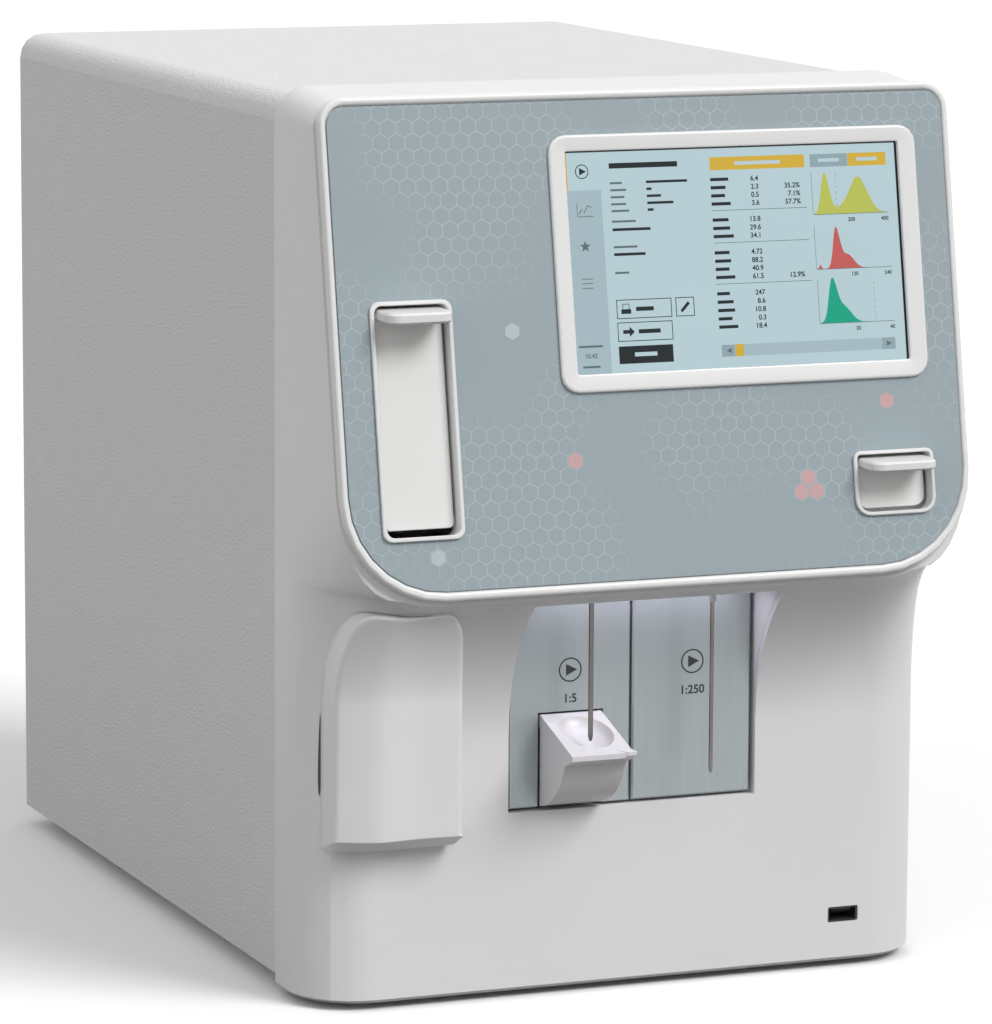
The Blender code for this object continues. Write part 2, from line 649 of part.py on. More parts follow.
def housing(name, inset=0.0, rear=SEAM_Y, finish=None):
    """The housing as a solid, drawn in by an inset, and cut flat where the panel sits."""
    widest = math.degrees(math.asin((PANEL_BOTTOM_Z - FLARE_Z) / FLARE_RADIUS))
    heights = [SHELL_BOTTOM + inset]
    insets = [inset]
    if inset <= 0:
        heights.append(SHELL_BOTTOM + inset + BOTTOM_EDGE)
        insets[0] += BOTTOM_EDGE
    for step in range(FINE_STEPS):
        turn = math.radians(widest * step / FINE_STEPS)
        heights.append(FLARE_Z + FLARE_RADIUS * math.sin(turn))
    for step in range(FINE_STEPS + 1):
        up = PANEL_LOW_CORNER * (1 - math.cos(math.pi / 2 * step / FINE_STEPS))
        heights.append(PANEL_BOTTOM_Z + up * math.cos(PANEL_TILT))
    heights.append(BODY_TOP + OVERRUN)
    insets += [inset] * (len(heights) - 1)
    rings = [plan_ring(z, drawn, rear, z) for z, drawn in zip(heights, insets)]
    made = loft(name, rings, finish)

    tops = (
        (rear + OVERRUN, BODY_TOP - TOP_RAMP),
        (SEAM_Y, BODY_TOP - TOP_RAMP),
        (CREST_Y, BODY_TOP),
        (CREST_END_Y, BODY_TOP),
        (DIP_Y, BODY_TOP - TOP_DIP),
        (PANEL_BOTTOM_Y - PANEL_LOW_CORNER, BODY_TOP - TOP_DIP),
    )
    half = BODY_WIDE / 2 - inset
    round_by = SHOULDER_RADIUS - inset
    tunnel = []
    for y, top in tops:
        outline = rounded(-half, half, -OVERRUN, top - inset, (0, 0, round_by, round_by))
        tunnel.append([Vector((x, y, z)) for x, z in outline])
    trim(made, loft(name + "_tunnel", tunnel))
    ahead = prism(
        name + "_ahead",
        rounded(-BODY_WIDE, BODY_WIDE, -SEAT_REACH, PANEL_HIGH + SEAT_REACH),
        SEAT_H - inset, LIMIT, PANEL,
    )
    return cut(made, ahead)


def panel_hole(name, rect, radii=0, low=-LIMIT / 5, high=LIMIT / 5):
    """A cutter square to the panel over (x, x, s, s)."""
    return prism(name, rounded(*rect, radii), low, high, PANEL)


# Rectangles of the openings in the panel
BEZEL_RECT = (BEZEL_LEFT, BEZEL_RIGHT, BEZEL_LOW, BEZEL_HIGH)
SCREEN_RECT = (SCREEN_LEFT, SCREEN_RIGHT, SCREEN_LOW, SCREEN_HIGH)
LCD_RECT = shrunk(SCREEN_RECT, -LCD_MARGIN)
DOOR_RECT = (DOOR_X - DOOR_HALF, DOOR_X + DOOR_HALF, DOOR_LOW, DOOR_HIGH)
DOOR_RING_IN = (
    DOOR_RECT[0] - DOOR_SIDE_GAP, DOOR_RECT[1] + DOOR_SIDE_GAP,
    DOOR_LOW - DOOR_LOW_GAP, DOOR_HIGH + DOOR_HIGH_GAP,
)
DOOR_RING_OUT = shrunk(DOOR_RING_IN, -DOOR_BAND)
DOOR_HOLE = shrunk(DOOR_RING_OUT, RING_FLANGE)
DRAWER_RECT = (DRAWER_X - DRAWER_HALF, DRAWER_X + DRAWER_HALF, DRAWER_LOW, DRAWER_HIGH)
DRAWER_RING_IN = (
    DRAWER_RECT[0] - DRAWER_SIDE_GAP, DRAWER_RECT[1] + DRAWER_SIDE_GAP,
    DRAWER_LOW - DRAWER_LOW_GAP, DRAWER_HIGH + DRAWER_HIGH_GAP,
)
DRAWER_RING_OUT = shrunk(DRAWER_RING_IN, -DRAWER_BAND)
DRAWER_HOLE = shrunk(DRAWER_RING_OUT, RING_FLANGE)
DRAWER_RING_RADII = (DRAWER_CORNER + DRAWER_BAND,) * 2 + (DRAWER_TOP_CORNER + DRAWER_BAND,) * 2


def drawn_in(radii, by):
    return tuple(max(radius - by, GAP) for radius in radii)


# Hood over the mixer, which follows the flared front
def shell_surface(x, z):
    """The y of the housing's front skin at a place."""
    front = front_line(z)
    wide = corner_wide(z)
    past = abs(x) - (BODY_WIDE / 2 - wide)
    if past <= 0:
        return front
    share = min(1, past / wide)
    return SIDE_START_Y + (front - SIDE_START_Y) * math.sqrt(1 - share ** 2)


def hood_front(x, z, inset):
    """A flat front with a soft bulge that runs out over the flare near its top."""
    bulge = math.exp(-((x - HOOD_BULGE_X) / HOOD_BULGE_WIDE) ** 2)
    flat = -HOOD_FRONT_Y + HOOD_BULGE * bulge
    over = HOOD_OVER_FLARE - shell_surface(x, z)
    return inset - (flat + over + math.hypot(flat - over, HOOD_BLEND)) / 2


def hood_ring(z, inset):
    """The hood's outline seen from above at a height."""
    rise = max(0, (z - FLARE_Z) / (HOOD_DIP - FLARE_Z))
    left = HOOD_LEFT + inset
    right = HOOD_RIGHT + (HOOD_RIGHT_TOP - HOOD_RIGHT) * rise - inset
    corner = HOOD_CORNER - inset
    points = [(left, HOOD_BACK_Y)]
    for step in range(CORNER_STEPS + 1):
        turn = math.pi / 2 * step / CORNER_STEPS
        x = left + corner * (1 - math.cos(turn))
        points.append((x, hood_front(left + corner, z, inset) + corner * (1 - math.sin(turn))))
    for step in range(1, FINE_STEPS):
        x = left + corner + (right - HOOD_EDGE - left - corner) * step / FINE_STEPS
        points.append((x, hood_front(x, z, inset)))
    for step in range(CORNER_STEPS - 1):
        turn = math.pi / 2 * step / (CORNER_STEPS - 2)
        x = right - HOOD_EDGE + HOOD_EDGE * math.sin(turn)
        points.append((x, hood_front(right - HOOD_EDGE, z, inset) + HOOD_EDGE * (1 - math.cos(turn))))
    points.append((right, HOOD_BACK_Y))
    return [Vector((x, y, z)) for x, y in points]


def hood_form(name, low, high, inset, finish=None):
    heights = [low, (low + FLARE_Z) / 2]
    heights += [FLARE_Z + (high - FLARE_Z) * step / HOOD_ROWS for step in range(HOOD_ROWS + 1)]
    return loft(name, [hood_ring(z, inset) for z in heights], finish)


def arc(x, y, radius, start, end, steps=CORNER_STEPS):
    turns = [math.radians(start + (end - start) * i / steps) for i in range(steps + 1)]
    return [(x + radius * math.cos(t), y + radius * math.sin(t)) for t in turns]


def hood_outline():
    """The hood seen from the front: a high left shoulder, a shallow dip, a round corner."""
    shoulder, corner = HOOD_SHOULDER_RADIUS, HOOD_TOP_RADIUS
    wide = HOOD_RIGHT_TOP - HOOD_LEFT
    points = [(HOOD_LEFT - OVERRUN, HOOD_LOW), (HOOD_RIGHT + OVERRUN, HOOD_LOW)]
    points.append((HOOD_RIGHT + OVERRUN, FLARE_Z))
    points += arc(HOOD_RIGHT_TOP - corner, HOOD_DIP - corner, corner, 0, 90)
    for share in reversed(HOOD_DIP_SHARES):
        points.append((HOOD_LEFT + wide * share, HOOD_DIP))
    points += arc(HOOD_LEFT + shoulder, HOOD_SHOULDER - shoulder, shoulder, 90, 180)
    points.append((HOOD_LEFT - OVERRUN, FLARE_Z))
    return points


def hood_lug_places():
    return [HOOD_LUG_X - HOOD_LUG_APART / 2, HOOD_LUG_X + HOOD_LUG_APART / 2]


def hood_knuckle_places():
    return [x - HOOD_LUG_WIDE - GAP * 2 for x in hood_lug_places()]


def knuckle(name, x, wide, radius, back_y):
    """A round lug on the hood's pin line, with its root toward a face behind or ahead."""
    low, high = x - wide / 2, x + wide / 2
    made = rod(name, radius, low, high, 0, HOOD_PIN_Y, HOOD_PIN_Z, "X")
    y = (min(HOOD_PIN_Y, back_y), max(HOOD_PIN_Y, back_y))
    root = box(name + "_root", (low, high), y, (HOOD_PIN_Z - radius, HOOD_PIN_Z + radius))
    return join(made, root)


def mixer_hood():
    hood = hood_form("mixer_hood", HOOD_LOW - OVERRUN, HOOD_SHOULDER + OVERRUN, 0, WHITE)
    trim(hood, prism("hood_edge", hood_outline(), 0, BODY_WIDE, FACING))
    reach = HOOD_FRONT_Y - SHELL_WALL * 5
    slope = (HOOD_BEVEL_Z - HOOD_LOW) / (FRONT_Y - HOOD_FRONT_Y)
    bevel = [
        (FRONT_Y, HOOD_LOW), (reach, HOOD_LOW + slope * (FRONT_Y - reach)),
        (reach, HOOD_LOW - OVERRUN), (FRONT_Y, HOOD_LOW - OVERRUN),
    ]
    hollow = hood_form("hood_hollow", HOOD_LOW + HOOD_WALL, HOOD_HOLLOW_TOP, HOOD_WALL)
    bevel_in = [(y, z + HOOD_WALL) for y, z in bevel[:2]] + bevel[2:]
    cut(hollow, prism("hollow_bevel", list(reversed(bevel_in)), -BODY_WIDE, BODY_WIDE, SIDEWAYS))
    cut(hood, housing("hood_seat", -GAP), hollow,
        prism("hood_bevel", list(reversed(bevel)), -BODY_WIDE, BODY_WIDE, SIDEWAYS))
    slot_front = shell_surface(HOOD_LEFT, FLARE_Z) - SLOT_DEEP
    slot = [(slot_front, SLOT_LOW + SLOT_DEEP), (slot_front, SLOT_HIGH - SLOT_DEEP),
            (slot_front + SLOT_DEEP * 2, SLOT_HIGH), (slot_front + SLOT_DEEP * 2, SLOT_LOW)]
    foot = (HOOD_LEFT - OVERRUN, HOOD_RIGHT + OVERRUN)
    cut(hood,
        prism("finger_slot", list(reversed(slot)), HOOD_LEFT - OVERRUN, HOOD_LEFT + HOOD_WALL * 2,
              SIDEWAYS),
        box("foot_clear", foot, (FRONT_Y - HOOD_BACK_GAP, HOOD_BACK_Y),
            (HOOD_LOW - OVERRUN, HOOD_PIN_Z)))
    for x in hood_knuckle_places():
        join(hood, knuckle("hood_knuckle", x, HOOD_KNUCKLE_WIDE, HOOD_KNUCKLE,
                           HOOD_PIN_Y - HOOD_WALL * 2))
    clear = HOOD_KNUCKLE + GAP * 2
    for x in hood_lug_places():
        half = HOOD_LUG_WIDE / 2 + GAP
        cut(hood, box("lug_clear", (x - half, x + half),
                      (HOOD_PIN_Y - clear, FRONT_Y), (HOOD_PIN_Z - clear * 2, HOOD_PIN_Z + clear)))
    cut(hood, rod("pin_bore", HOOD_PIN_RADIUS + GAP, HOOD_LEFT + HOOD_WALL, HOOD_RIGHT - HOOD_WALL,
                  0, HOOD_PIN_Y, HOOD_PIN_Z, "X"))
    return hood


# Front shell with its openings
def front_shell():
    shell = housing("front_shell", finish=SHELL_WHITE)
    cut(shell, housing("shell_hollow", SHELL_WALL, SEAM_Y + OVERRUN))
    across = (FRONT_Y - BODY_WIDE, BAY_BACK_Y)
    ring_radii = drawn_in(DRAWER_RING_RADII, RING_FLANGE - GAP)
    cut(shell,
        box("bay_opening", (BAY_LEFT, BAY_RIGHT), across, (BAY_LOW, BAY_HIGH)),
        box("mixer_opening", (WELL_LEFT, WELL_RIGHT), across, (WELL_LOW, WELL_HIGH)),
        panel_hole("screen_opening", shrunk(LCD_RECT, -GAP), 0, -SHELL_HOLE_DEEP, 0),
        panel_hole("door_opening", shrunk(DOOR_HOLE, -GAP), RING_CORNER, -SHELL_HOLE_DEEP, 0),
        panel_hole("drawer_opening", shrunk(DRAWER_HOLE, -GAP), ring_radii, -SHELL_HOLE_DEEP, 0),
        prism("usb_opening", rounded(USB_LEFT, USB_RIGHT, USB_LOW, USB_HIGH, USB_CORNER),
              -FRONT_Y - SHELL_WALL * 2, -FRONT_Y + OVERRUN, FACING))
    for x in hood_lug_places():
        join(shell, knuckle("hood_lug", x, HOOD_LUG_WIDE, HOOD_KNUCKLE, FRONT_Y + SHELL_WALL / 2))
        half = HOOD_LUG_WIDE / 2 + OVERRUN
        cut(shell, rod("lug_bore", HOOD_PIN_RADIUS + GAP, x - half, x + half,
                       0, HOOD_PIN_Y, HOOD_PIN_Z, "X"))
    return shell


# Panel: its frame with a rounded rim, and the grey overlay inside the rim
def panel_outline(inset_x, inset_s):
    low, top = PANEL_LOW_CORNER - inset_x, max(PANEL_TOP_CORNER - inset_s, GAP)
    rect = (-PANEL_HALF + inset_x, PANEL_HALF - inset_x, inset_s, PANEL_HIGH - inset_s)
    return rounded(*rect, (low, low, top, top), FINE_STEPS)


def panel_rim():
    """A shallow tray moulding: its back edge, a half round bead and the recess inside it."""
    levels = [(panel_outline(0, 0), -RIM_DEEP), (panel_outline(0, 0), -RIM_STEP)]
    for step in range(1, FINE_STEPS):
        turn = math.pi * step / FINE_STEPS
        share = (1 - math.cos(turn)) / 2
        height = -RIM_STEP + RIM_STEP * math.sin(turn)
        levels.append((panel_outline(RIM_SIDE * share, RIM_END * share), height))
    levels.append((panel_outline(RIM_SIDE, RIM_END), -RIM_STEP))
    rim = stack("panel_rim", levels, PANEL, WHITE)
    ring_radii = drawn_in(DRAWER_RING_RADII, RING_FLANGE - GAP)
    return cut(rim,
               panel_hole("screen_hole", shrunk(LCD_RECT, -GAP)),
               panel_hole("door_hole", shrunk(DOOR_HOLE, -GAP), RING_CORNER),
               panel_hole("drawer_hole", shrunk(DRAWER_HOLE, -GAP), ring_radii))


def front_overlay():
    edge = panel_outline(RIM_SIDE + GAP, RIM_END + GAP)
    overlay = prism("front_overlay", edge, OVERLAY_BACK_H, OVERLAY_FRONT_H, PANEL, GREY)
    ring_radii = drawn_in(DRAWER_RING_RADII, RING_FLANGE - GAP)
    return cut(overlay,
               panel_hole("skirt_hole", shrunk(SCREEN_RECT, -BEZEL_LIP - GAP), SCREEN_CORNER),
               panel_hole("door_hole", shrunk(DOOR_HOLE, -GAP), RING_CORNER),
               panel_hole("drawer_hole", shrunk(DRAWER_HOLE, -GAP), ring_radii))


def ring_frame(name, outer, inner, radii, profile, finish):
    """A frame swept round a rectangle; the profile holds (share from outer to inner, h)."""
    rings = []
    for share, height in profile:
        outline = rounded(*between(outer, inner, share), between(*radii, share))
        rings.append(lifted(outline, height, PANEL))
    return loft(name, rings, finish, closed=True)


# Screen: bezel, glass and display
BEZEL_ROUND_SHARES = ((0.0, 0.25), (0.03, 0.70), (0.10, 0.95), (0.20, 1.0), (0.90, 0.75), (1.0, 0.45))


def screen_bezel():
    low = OVERLAY_FRONT_H + GAP
    skirt_share = 1 - BEZEL_LIP / (SCREEN_LEFT - BEZEL_LEFT)
    profile = [(0, low)]
    profile += [(share, BEZEL_PROUD * up) for share, up in BEZEL_ROUND_SHARES]
    skirt = OVERLAY_BACK_H + GAP
    profile += [(1, skirt), (skirt_share, skirt), (skirt_share, low)]
    radii = ((BEZEL_CORNER,) * 4, (SCREEN_CORNER,) * 4)
    return ring_frame("screen_bezel", BEZEL_RECT, SCREEN_RECT, radii, profile, WHITE)


GLASS_FRONT_H = OVERLAY_BACK_H - GAP / 2


def touch_glass():
    rect = shrunk(SCREEN_RECT, -GLASS_MARGIN)
    return prism("touch_glass", rounded(*rect, SCREEN_CORNER), GLASS_FRONT_H - GLASS_THICK,
                 GLASS_FRONT_H, PANEL, GLASS)


def lcd_module():
    top = GLASS_FRONT_H - GLASS_THICK - GAP
    rect = shrunk(LCD_RECT, GAP)
    module = prism("lcd_module", rounded(*rect, SCREEN_CORNER), top - LCD_THICK, top, PANEL, BLACK)
    step = shrunk(rect, LCD_MARGIN)
    frame = ring_cutter("lcd_step", rect, step, top - LCD_THICK, top - LCD_THICK + LCD_THICK / 4)
    return cut(module, frame)


def ring_cutter(name, outer, inner, low, high):
    ring = panel_hole(name, shrunk(outer, -OVERRUN), 0, low - OVERRUN, high)
    return cut(ring, panel_hole(name + "_core", inner))


# Frames round the door and the drawer: a proud band, and a sleeve through the panel
def sleeve_profile(band, deep):
    flange = RING_FLANGE / band
    low = OVERLAY_FRONT_H + GAP
    round_by = RING_PROUD / 3
    return [
        (0, low), (0, RING_PROUD - round_by), (round_by / band, RING_PROUD),
        (1 - round_by / band, RING_PROUD), (1, RING_PROUD - round_by),
        (1, -deep), (flange, -deep), (flange, low),
    ]


def ear_places():
    reach = DOOR_RING_IN[1] - DOOR_RING_IN[0]
    half = reach / 2 + DOOR_BAND - RING_FLANGE
    return [DOOR_X - half + DOOR_EAR_WIDE / 4, DOOR_X + half - DOOR_EAR_WIDE / 4]


def pin_cutter(name, radius, low, high):
    """A bore along X on the tube door's hinge line."""
    centre = on_panel(0, DOOR_PIN_S, DOOR_PIN_H)
    return rod(name, radius, low, high, 0, centre.y, centre.z, "X")


def door_ear(name, x, wide, radius):
    centre = on_panel(0, DOOR_PIN_S, DOOR_PIN_H)
    return rod(name, radius, x - wide / 2, x + wide / 2, 0, centre.y, centre.z, "X")


def door_ring():
    radii = ((RING_CORNER,) * 4, (RING_CORNER - DOOR_BAND / 2,) * 4)
    ring = ring_frame("door_ring", DOOR_RING_OUT, DOOR_RING_IN, radii,
                      sleeve_profile(DOOR_BAND, RING_DEEP), WHITE)
    for x in ear_places():
        join(ring, door_ear("ear", x, DOOR_EAR_WIDE / 2 - GAP, DOOR_EAR_RADIUS))
    return cut(ring, pin_cutter("pin_bore", DOOR_PIN_RADIUS + GAP, DOOR_X - DOOR_HALF * 2,
                                DOOR_X + DOOR_HALF * 2))


def drawer_ring():
    radii = (DRAWER_RING_RADII, drawn_in(DRAWER_RING_RADII, DRAWER_BAND))
    return ring_frame("drawer_ring", DRAWER_RING_OUT, DRAWER_RING_IN, radii,
                      sleeve_profile(DRAWER_BAND, RIM_DEEP), WHITE)


# A leaf with rounded front edges, for the door and the drawer
def leaf(name, rect, corner, recess, thick, edge, finish):
    top = -recess
    radii = (corner, corner, edge * 2, edge * 2)
    levels = [(rounded(*rect, radii), top - thick), (rounded(*rect, radii), top - edge)]
    for step in range(1, CORNER_STEPS - 1):
        turn = math.pi / 2 * step / (CORNER_STEPS - 2)
        inset = edge * (1 - math.cos(turn))
        outline = rounded(*shrunk(rect, inset), drawn_in(radii, inset))
        levels.append((outline, top - edge * (1 - math.sin(turn))))
    return stack(name, levels, PANEL, finish)


def finger_lip(name, x, half, s, recess, reach, thick, corner):
    """A level plate that stands out of a leaf's top edge."""
    root = on_panel(x, s, -recess)
    outline = rounded(x - half, x + half, root.y - reach, root.y + LIP_ROOT,
                      (corner, corner, GAP, GAP))
    edge = thick / 5
    top = root.z
    levels = [
        (rounded(x - half + edge, x + half - edge, root.y - reach + edge, root.y + LIP_ROOT,
                 (corner - edge, corner - edge, GAP, GAP)), top - thick),
        (outline, top - thick + edge),
        (outline, top - edge),
        (rounded(x - half + edge, x + half - edge, root.y - reach + edge, root.y + LIP_ROOT,
                 (corner - edge, corner - edge, GAP, GAP)), top),
    ]
    return stack(name, levels)


def tube_door():
    """The leaf with its lip and the two arms that reach back to the hinge pin."""
    door = leaf("tube_door", DOOR_RECT, DOOR_CORNER, DOOR_RECESS, DOOR_THICK, DOOR_EDGE, WHITE)
    join(door, finger_lip("lip", DOOR_X, LIP_HALF, DOOR_HIGH, DOOR_RECESS,
                          LIP_REACH, LIP_THICK, LIP_CORNER))
    back = -DOOR_RECESS - DOOR_THICK
    for side in (-1, 1):
        x = DOOR_X + side * (DOOR_HALF - DOOR_EAR_WIDE)
        arm = prism("arm", rounded(x - DOOR_EAR_WIDE / 2, x + DOOR_EAR_WIDE / 2,
                                   DOOR_PIN_S - DOOR_EAR_RADIUS, DOOR_PIN_S + DOOR_EAR_RADIUS),
                    DOOR_PIN_H, back + DOOR_THICK / 2, PANEL)
        join(arm, door_ear("arm_end", x, DOOR_EAR_WIDE, DOOR_EAR_RADIUS))
        join(door, arm)
    return cut(door, pin_cutter("pin_bore", DOOR_PIN_RADIUS + GAP, DOOR_X - DOOR_HALF * 2,
                                DOOR_X + DOOR_HALF * 2))


def tube_holder():
    """A cup for one sample tube, with a flat back that sits on the door."""
    back = -DOOR_RECESS - DOOR_THICK - GAP
    centre_h = back - HOLDER_BACK + HOLDER_RADIUS
    half = HOLDER_RADIUS
    along = Matrix.Translation(on_panel(DOOR_X, 0, centre_h)) @ Matrix.Rotation(
        -PANEL_TILT, 4, "X")
    holder = prism("tube_holder", disc(0, 0, half, ROUND_SIDES), HOLDER_LOW, HOLDER_HIGH, along,
                   SHELL_WHITE)
    join(holder, prism("foot", rounded(DOOR_X - half * 3 / 4, DOOR_X + half * 3 / 4,
                                       HOLDER_LOW, HOLDER_HIGH), centre_h, back, PANEL))
    return cut(holder, prism("bore", disc(0, 0, HOLDER_BORE, ROUND_SIDES),
                             HOLDER_LOW + HOLDER_FLOOR, HOLDER_HIGH + OVERRUN, along))


def door_hinge_pin():
    places = ear_places()
    pin = pin_cutter("door_hinge_pin", DOOR_PIN_RADIUS, places[0] - DOOR_EAR_WIDE / 4,
                     places[1] + DOOR_EAR_WIDE / 4)
    pin.data.materials.append(STEEL)
    return pin


# Drawer: its front, its tray and the housing it runs in
def drawer_back_y():
    return on_panel(0, DRAWER_LOW, -DRAWER_RECESS - DRAWER_THICK).y


def tray_zone():
    """The tray's x, x, z, z, level and clear of the tilted sleeve."""
    sleeve = on_panel(0, DRAWER_RING_IN[2], RING_PROUD)
    low = sleeve.z + TRAY_INSET
    half = DRAWER_HALF - TRAY_INSET
    return DRAWER_X - half, DRAWER_X + half, low, low + TRAY_HIGH


def drawer_front():
    front = leaf("drawer_front", DRAWER_RECT, DRAWER_CORNER, DRAWER_RECESS, DRAWER_THICK,
                 DOOR_EDGE, WHITE)
    return join(front, finger_lip("lip", DRAWER_X, DRAWER_HALF - TRAY_INSET / 2,
                                  DRAWER_HIGH, DRAWER_RECESS, DRAWER_LIP_REACH,
                                  DRAWER_LIP_THICK, LIP_CORNER))


def drawer_tray():
    """An open tray with a turned well for a capillary adapter."""
    left, right, low, high = tray_zone()
    front = drawer_back_y() - OVERRUN * 3
    back = drawer_back_y() + TRAY_LONG
    tray = box("drawer_tray", (left, right), (front, back), (low, high), SHELL_WHITE)
    behind = prism("leaf_clear", rounded(-BODY_WIDE, BODY_WIDE, -SEAT_REACH, PANEL_HIGH),
                   -DRAWER_RECESS - DRAWER_THICK - GAP, LIMIT, PANEL)
    wall = TRAY_WALL
    inside = box("tray_inside", (left + wall, right - wall),
                 (drawer_back_y() + wall * 6, back - wall), (low + wall, high + OVERRUN))
    middle = (drawer_back_y() + back) / 2
    cut(tray, behind, inside)
    stem = rod("well_stem", TRAY_WELL_RADIUS + wall, low + wall / 2, high - wall, DRAWER_X,
               middle, 0, sides=ROUND_SIDES)
    join(tray, stem)
    return cut(tray, rod("well", TRAY_WELL_RADIUS, low + TRAY_WELL_FLOOR, high, DRAWER_X, middle,
                         0, sides=ROUND_SIDES))


def drawer_housing():
    left, right, low, high = tray_zone()
    outer = HOUSING_WALL + RUN_GAP
    front, back = drawer_back_y() - OVERRUN * 5, drawer_back_y() + HOUSING_LONG
    made = box("drawer_housing", (left - outer, right + outer), (front, back),
               (low - outer, high + outer), BLACK)
    hollow = box("housing_hollow", (left - RUN_GAP, right + RUN_GAP),
                 (front - OVERRUN, back + OVERRUN), (low - RUN_GAP, high + RUN_GAP))
    seat = SEAT_H - SHELL_WALL - GAP
    behind = prism("seat_clear", rounded(-BODY_WIDE, BODY_WIDE, -SEAT_REACH, PANEL_HIGH),
                   seat, LIMIT, PANEL)
    flange = prism("housing_flange", rounded(*shrunk(DRAWER_HOLE, -HOUSING_FLANGE)),
                   seat - HOUSING_FLANGE_THICK, seat, PANEL)
    return cut(join(cut(made, behind), flange), hollow)


# Needle bay: its liner, the two plates, what carries them and the lamp
def clear_of_shell(piece, rear):
    """Trims an inner piece to the hollow of the shell."""
    return trim(piece, housing(piece.name + "_clear", SHELL_WALL + GAP, rear))


def bay_liner():
    wall = LINER_WALL
    front = FRONT_Y - BODY_WIDE / 4
    liner = box("bay_liner", (BAY_LEFT - wall, BAY_RIGHT + wall), (front, BAY_BACK_Y + wall),
                (BAY_LOW - wall, BAY_HIGH + wall), PLATE_GREY)
    clear_of_shell(liner, BAY_BACK_Y + wall * 4)
    hollow = box("liner_hollow", (BAY_LEFT, BAY_RIGHT), (front - OVERRUN, BAY_BACK_Y),
                 (BAY_LOW, BAY_HIGH))
    holes = [needle_rod("needle_hole", x, radius + NEEDLE_HOLE, BAY_HIGH - OVERRUN,
                        BAY_HIGH + wall + OVERRUN)
             for x, radius in ((NEEDLE_LEFT_X, NEEDLE_LEFT_RADIUS),
                               (NEEDLE_RIGHT_X, FERRULE_RADIUS - NEEDLE_HOLE + GAP))]
    lamp = box("lamp_slot", (LAMP_LEFT, LAMP_RIGHT), (LAMP_FRONT_Y, LAMP_BACK_Y),
               (BAY_HIGH - OVERRUN, BAY_HIGH + wall + OVERRUN))
    return cut(liner, hollow, lamp, *holes)


def needle_rod(name, x, radius, low, high, sides=SMALL_SIDES, finish=None):
    return rod(name, radius, low, high, x, NEEDLE_Y, 0, sides=sides, finish=finish)


def bay_lamp():
    rim = LAMP_FLANGE
    lamp = box("bay_lamp", (LAMP_LEFT - rim, LAMP_RIGHT + rim),
               (LAMP_FRONT_Y - rim, LAMP_BACK_Y + rim),
               (BAY_HIGH + LINER_WALL + GAP, BAY_HIGH + LINER_WALL + LAMP_HIGH), LAMP_WHITE)
    lens = box("lens", (LAMP_LEFT + GAP, LAMP_RIGHT - GAP), (LAMP_FRONT_Y + GAP, LAMP_BACK_Y - GAP),
               (BAY_HIGH + GAP, BAY_HIGH + LAMP_HIGH))
    return join(lamp, lens)


PLATE_LOW = BAY_LOW + PLATE_LOW_GAP
PLATE_HIGH = BAY_HIGH - PLATE_HIGH_GAP
CUTOUT_LEFT = CUP_LEFT - CUTOUT_SIDE
CUTOUT_RIGHT = CUP_RIGHT + CUTOUT_SIDE


def post_places(left, right):
    """Centres x, z of a plate's four guide posts."""
    wide, high = right - left, PLATE_HIGH - PLATE_LOW
    across = (left + wide * POST_IN_SHARE, right - wide * POST_IN_SHARE)
    up = (PLATE_LOW + high * POST_LOW_SHARE, PLATE_LOW + high * POST_HIGH_SHARE)
    return [(x, z) for x in across for z in up]


PLATE_SPANS = {
    "start_plate_left": (BAY_LEFT + PLATE_LEFT_GAP, PLATE_SPLIT_X - PLATE_SPLIT / 2),
    "start_plate_right": (PLATE_SPLIT_X + PLATE_SPLIT / 2, BAY_RIGHT - PLATE_RIGHT_GAP),
}


def start_plate(name):
    left, right = PLATE_SPANS[name]
    edge = PLATE_CORNER
    front = -PLATE_FRONT_Y
    levels = [
        (rounded(left, right, PLATE_LOW, PLATE_HIGH), front - PLATE_THICK),
        (rounded(left, right, PLATE_LOW, PLATE_HIGH), front - edge),
        (rounded(left + edge, right - edge, PLATE_LOW + edge, PLATE_HIGH - edge), front),
    ]
    plate = stack(name, levels, FACING, PLATE_GREY)
    for x, z in post_places(left, right):
        join(plate, rod("post", POST_RADIUS, front - PLATE_THICK - POST_LONG,
                        front - PLATE_THICK / 2, x, 0, z, "Y"))
    if name == "start_plate_left":
        cut(plate, box("cup_notch", (CUTOUT_LEFT, CUTOUT_RIGHT),
                       (PLATE_FRONT_Y - OVERRUN, PLATE_FRONT_Y + PLATE_THICK + OVERRUN),
                       (PLATE_LOW - OVERRUN, CUTOUT_TOP)))
    return plate


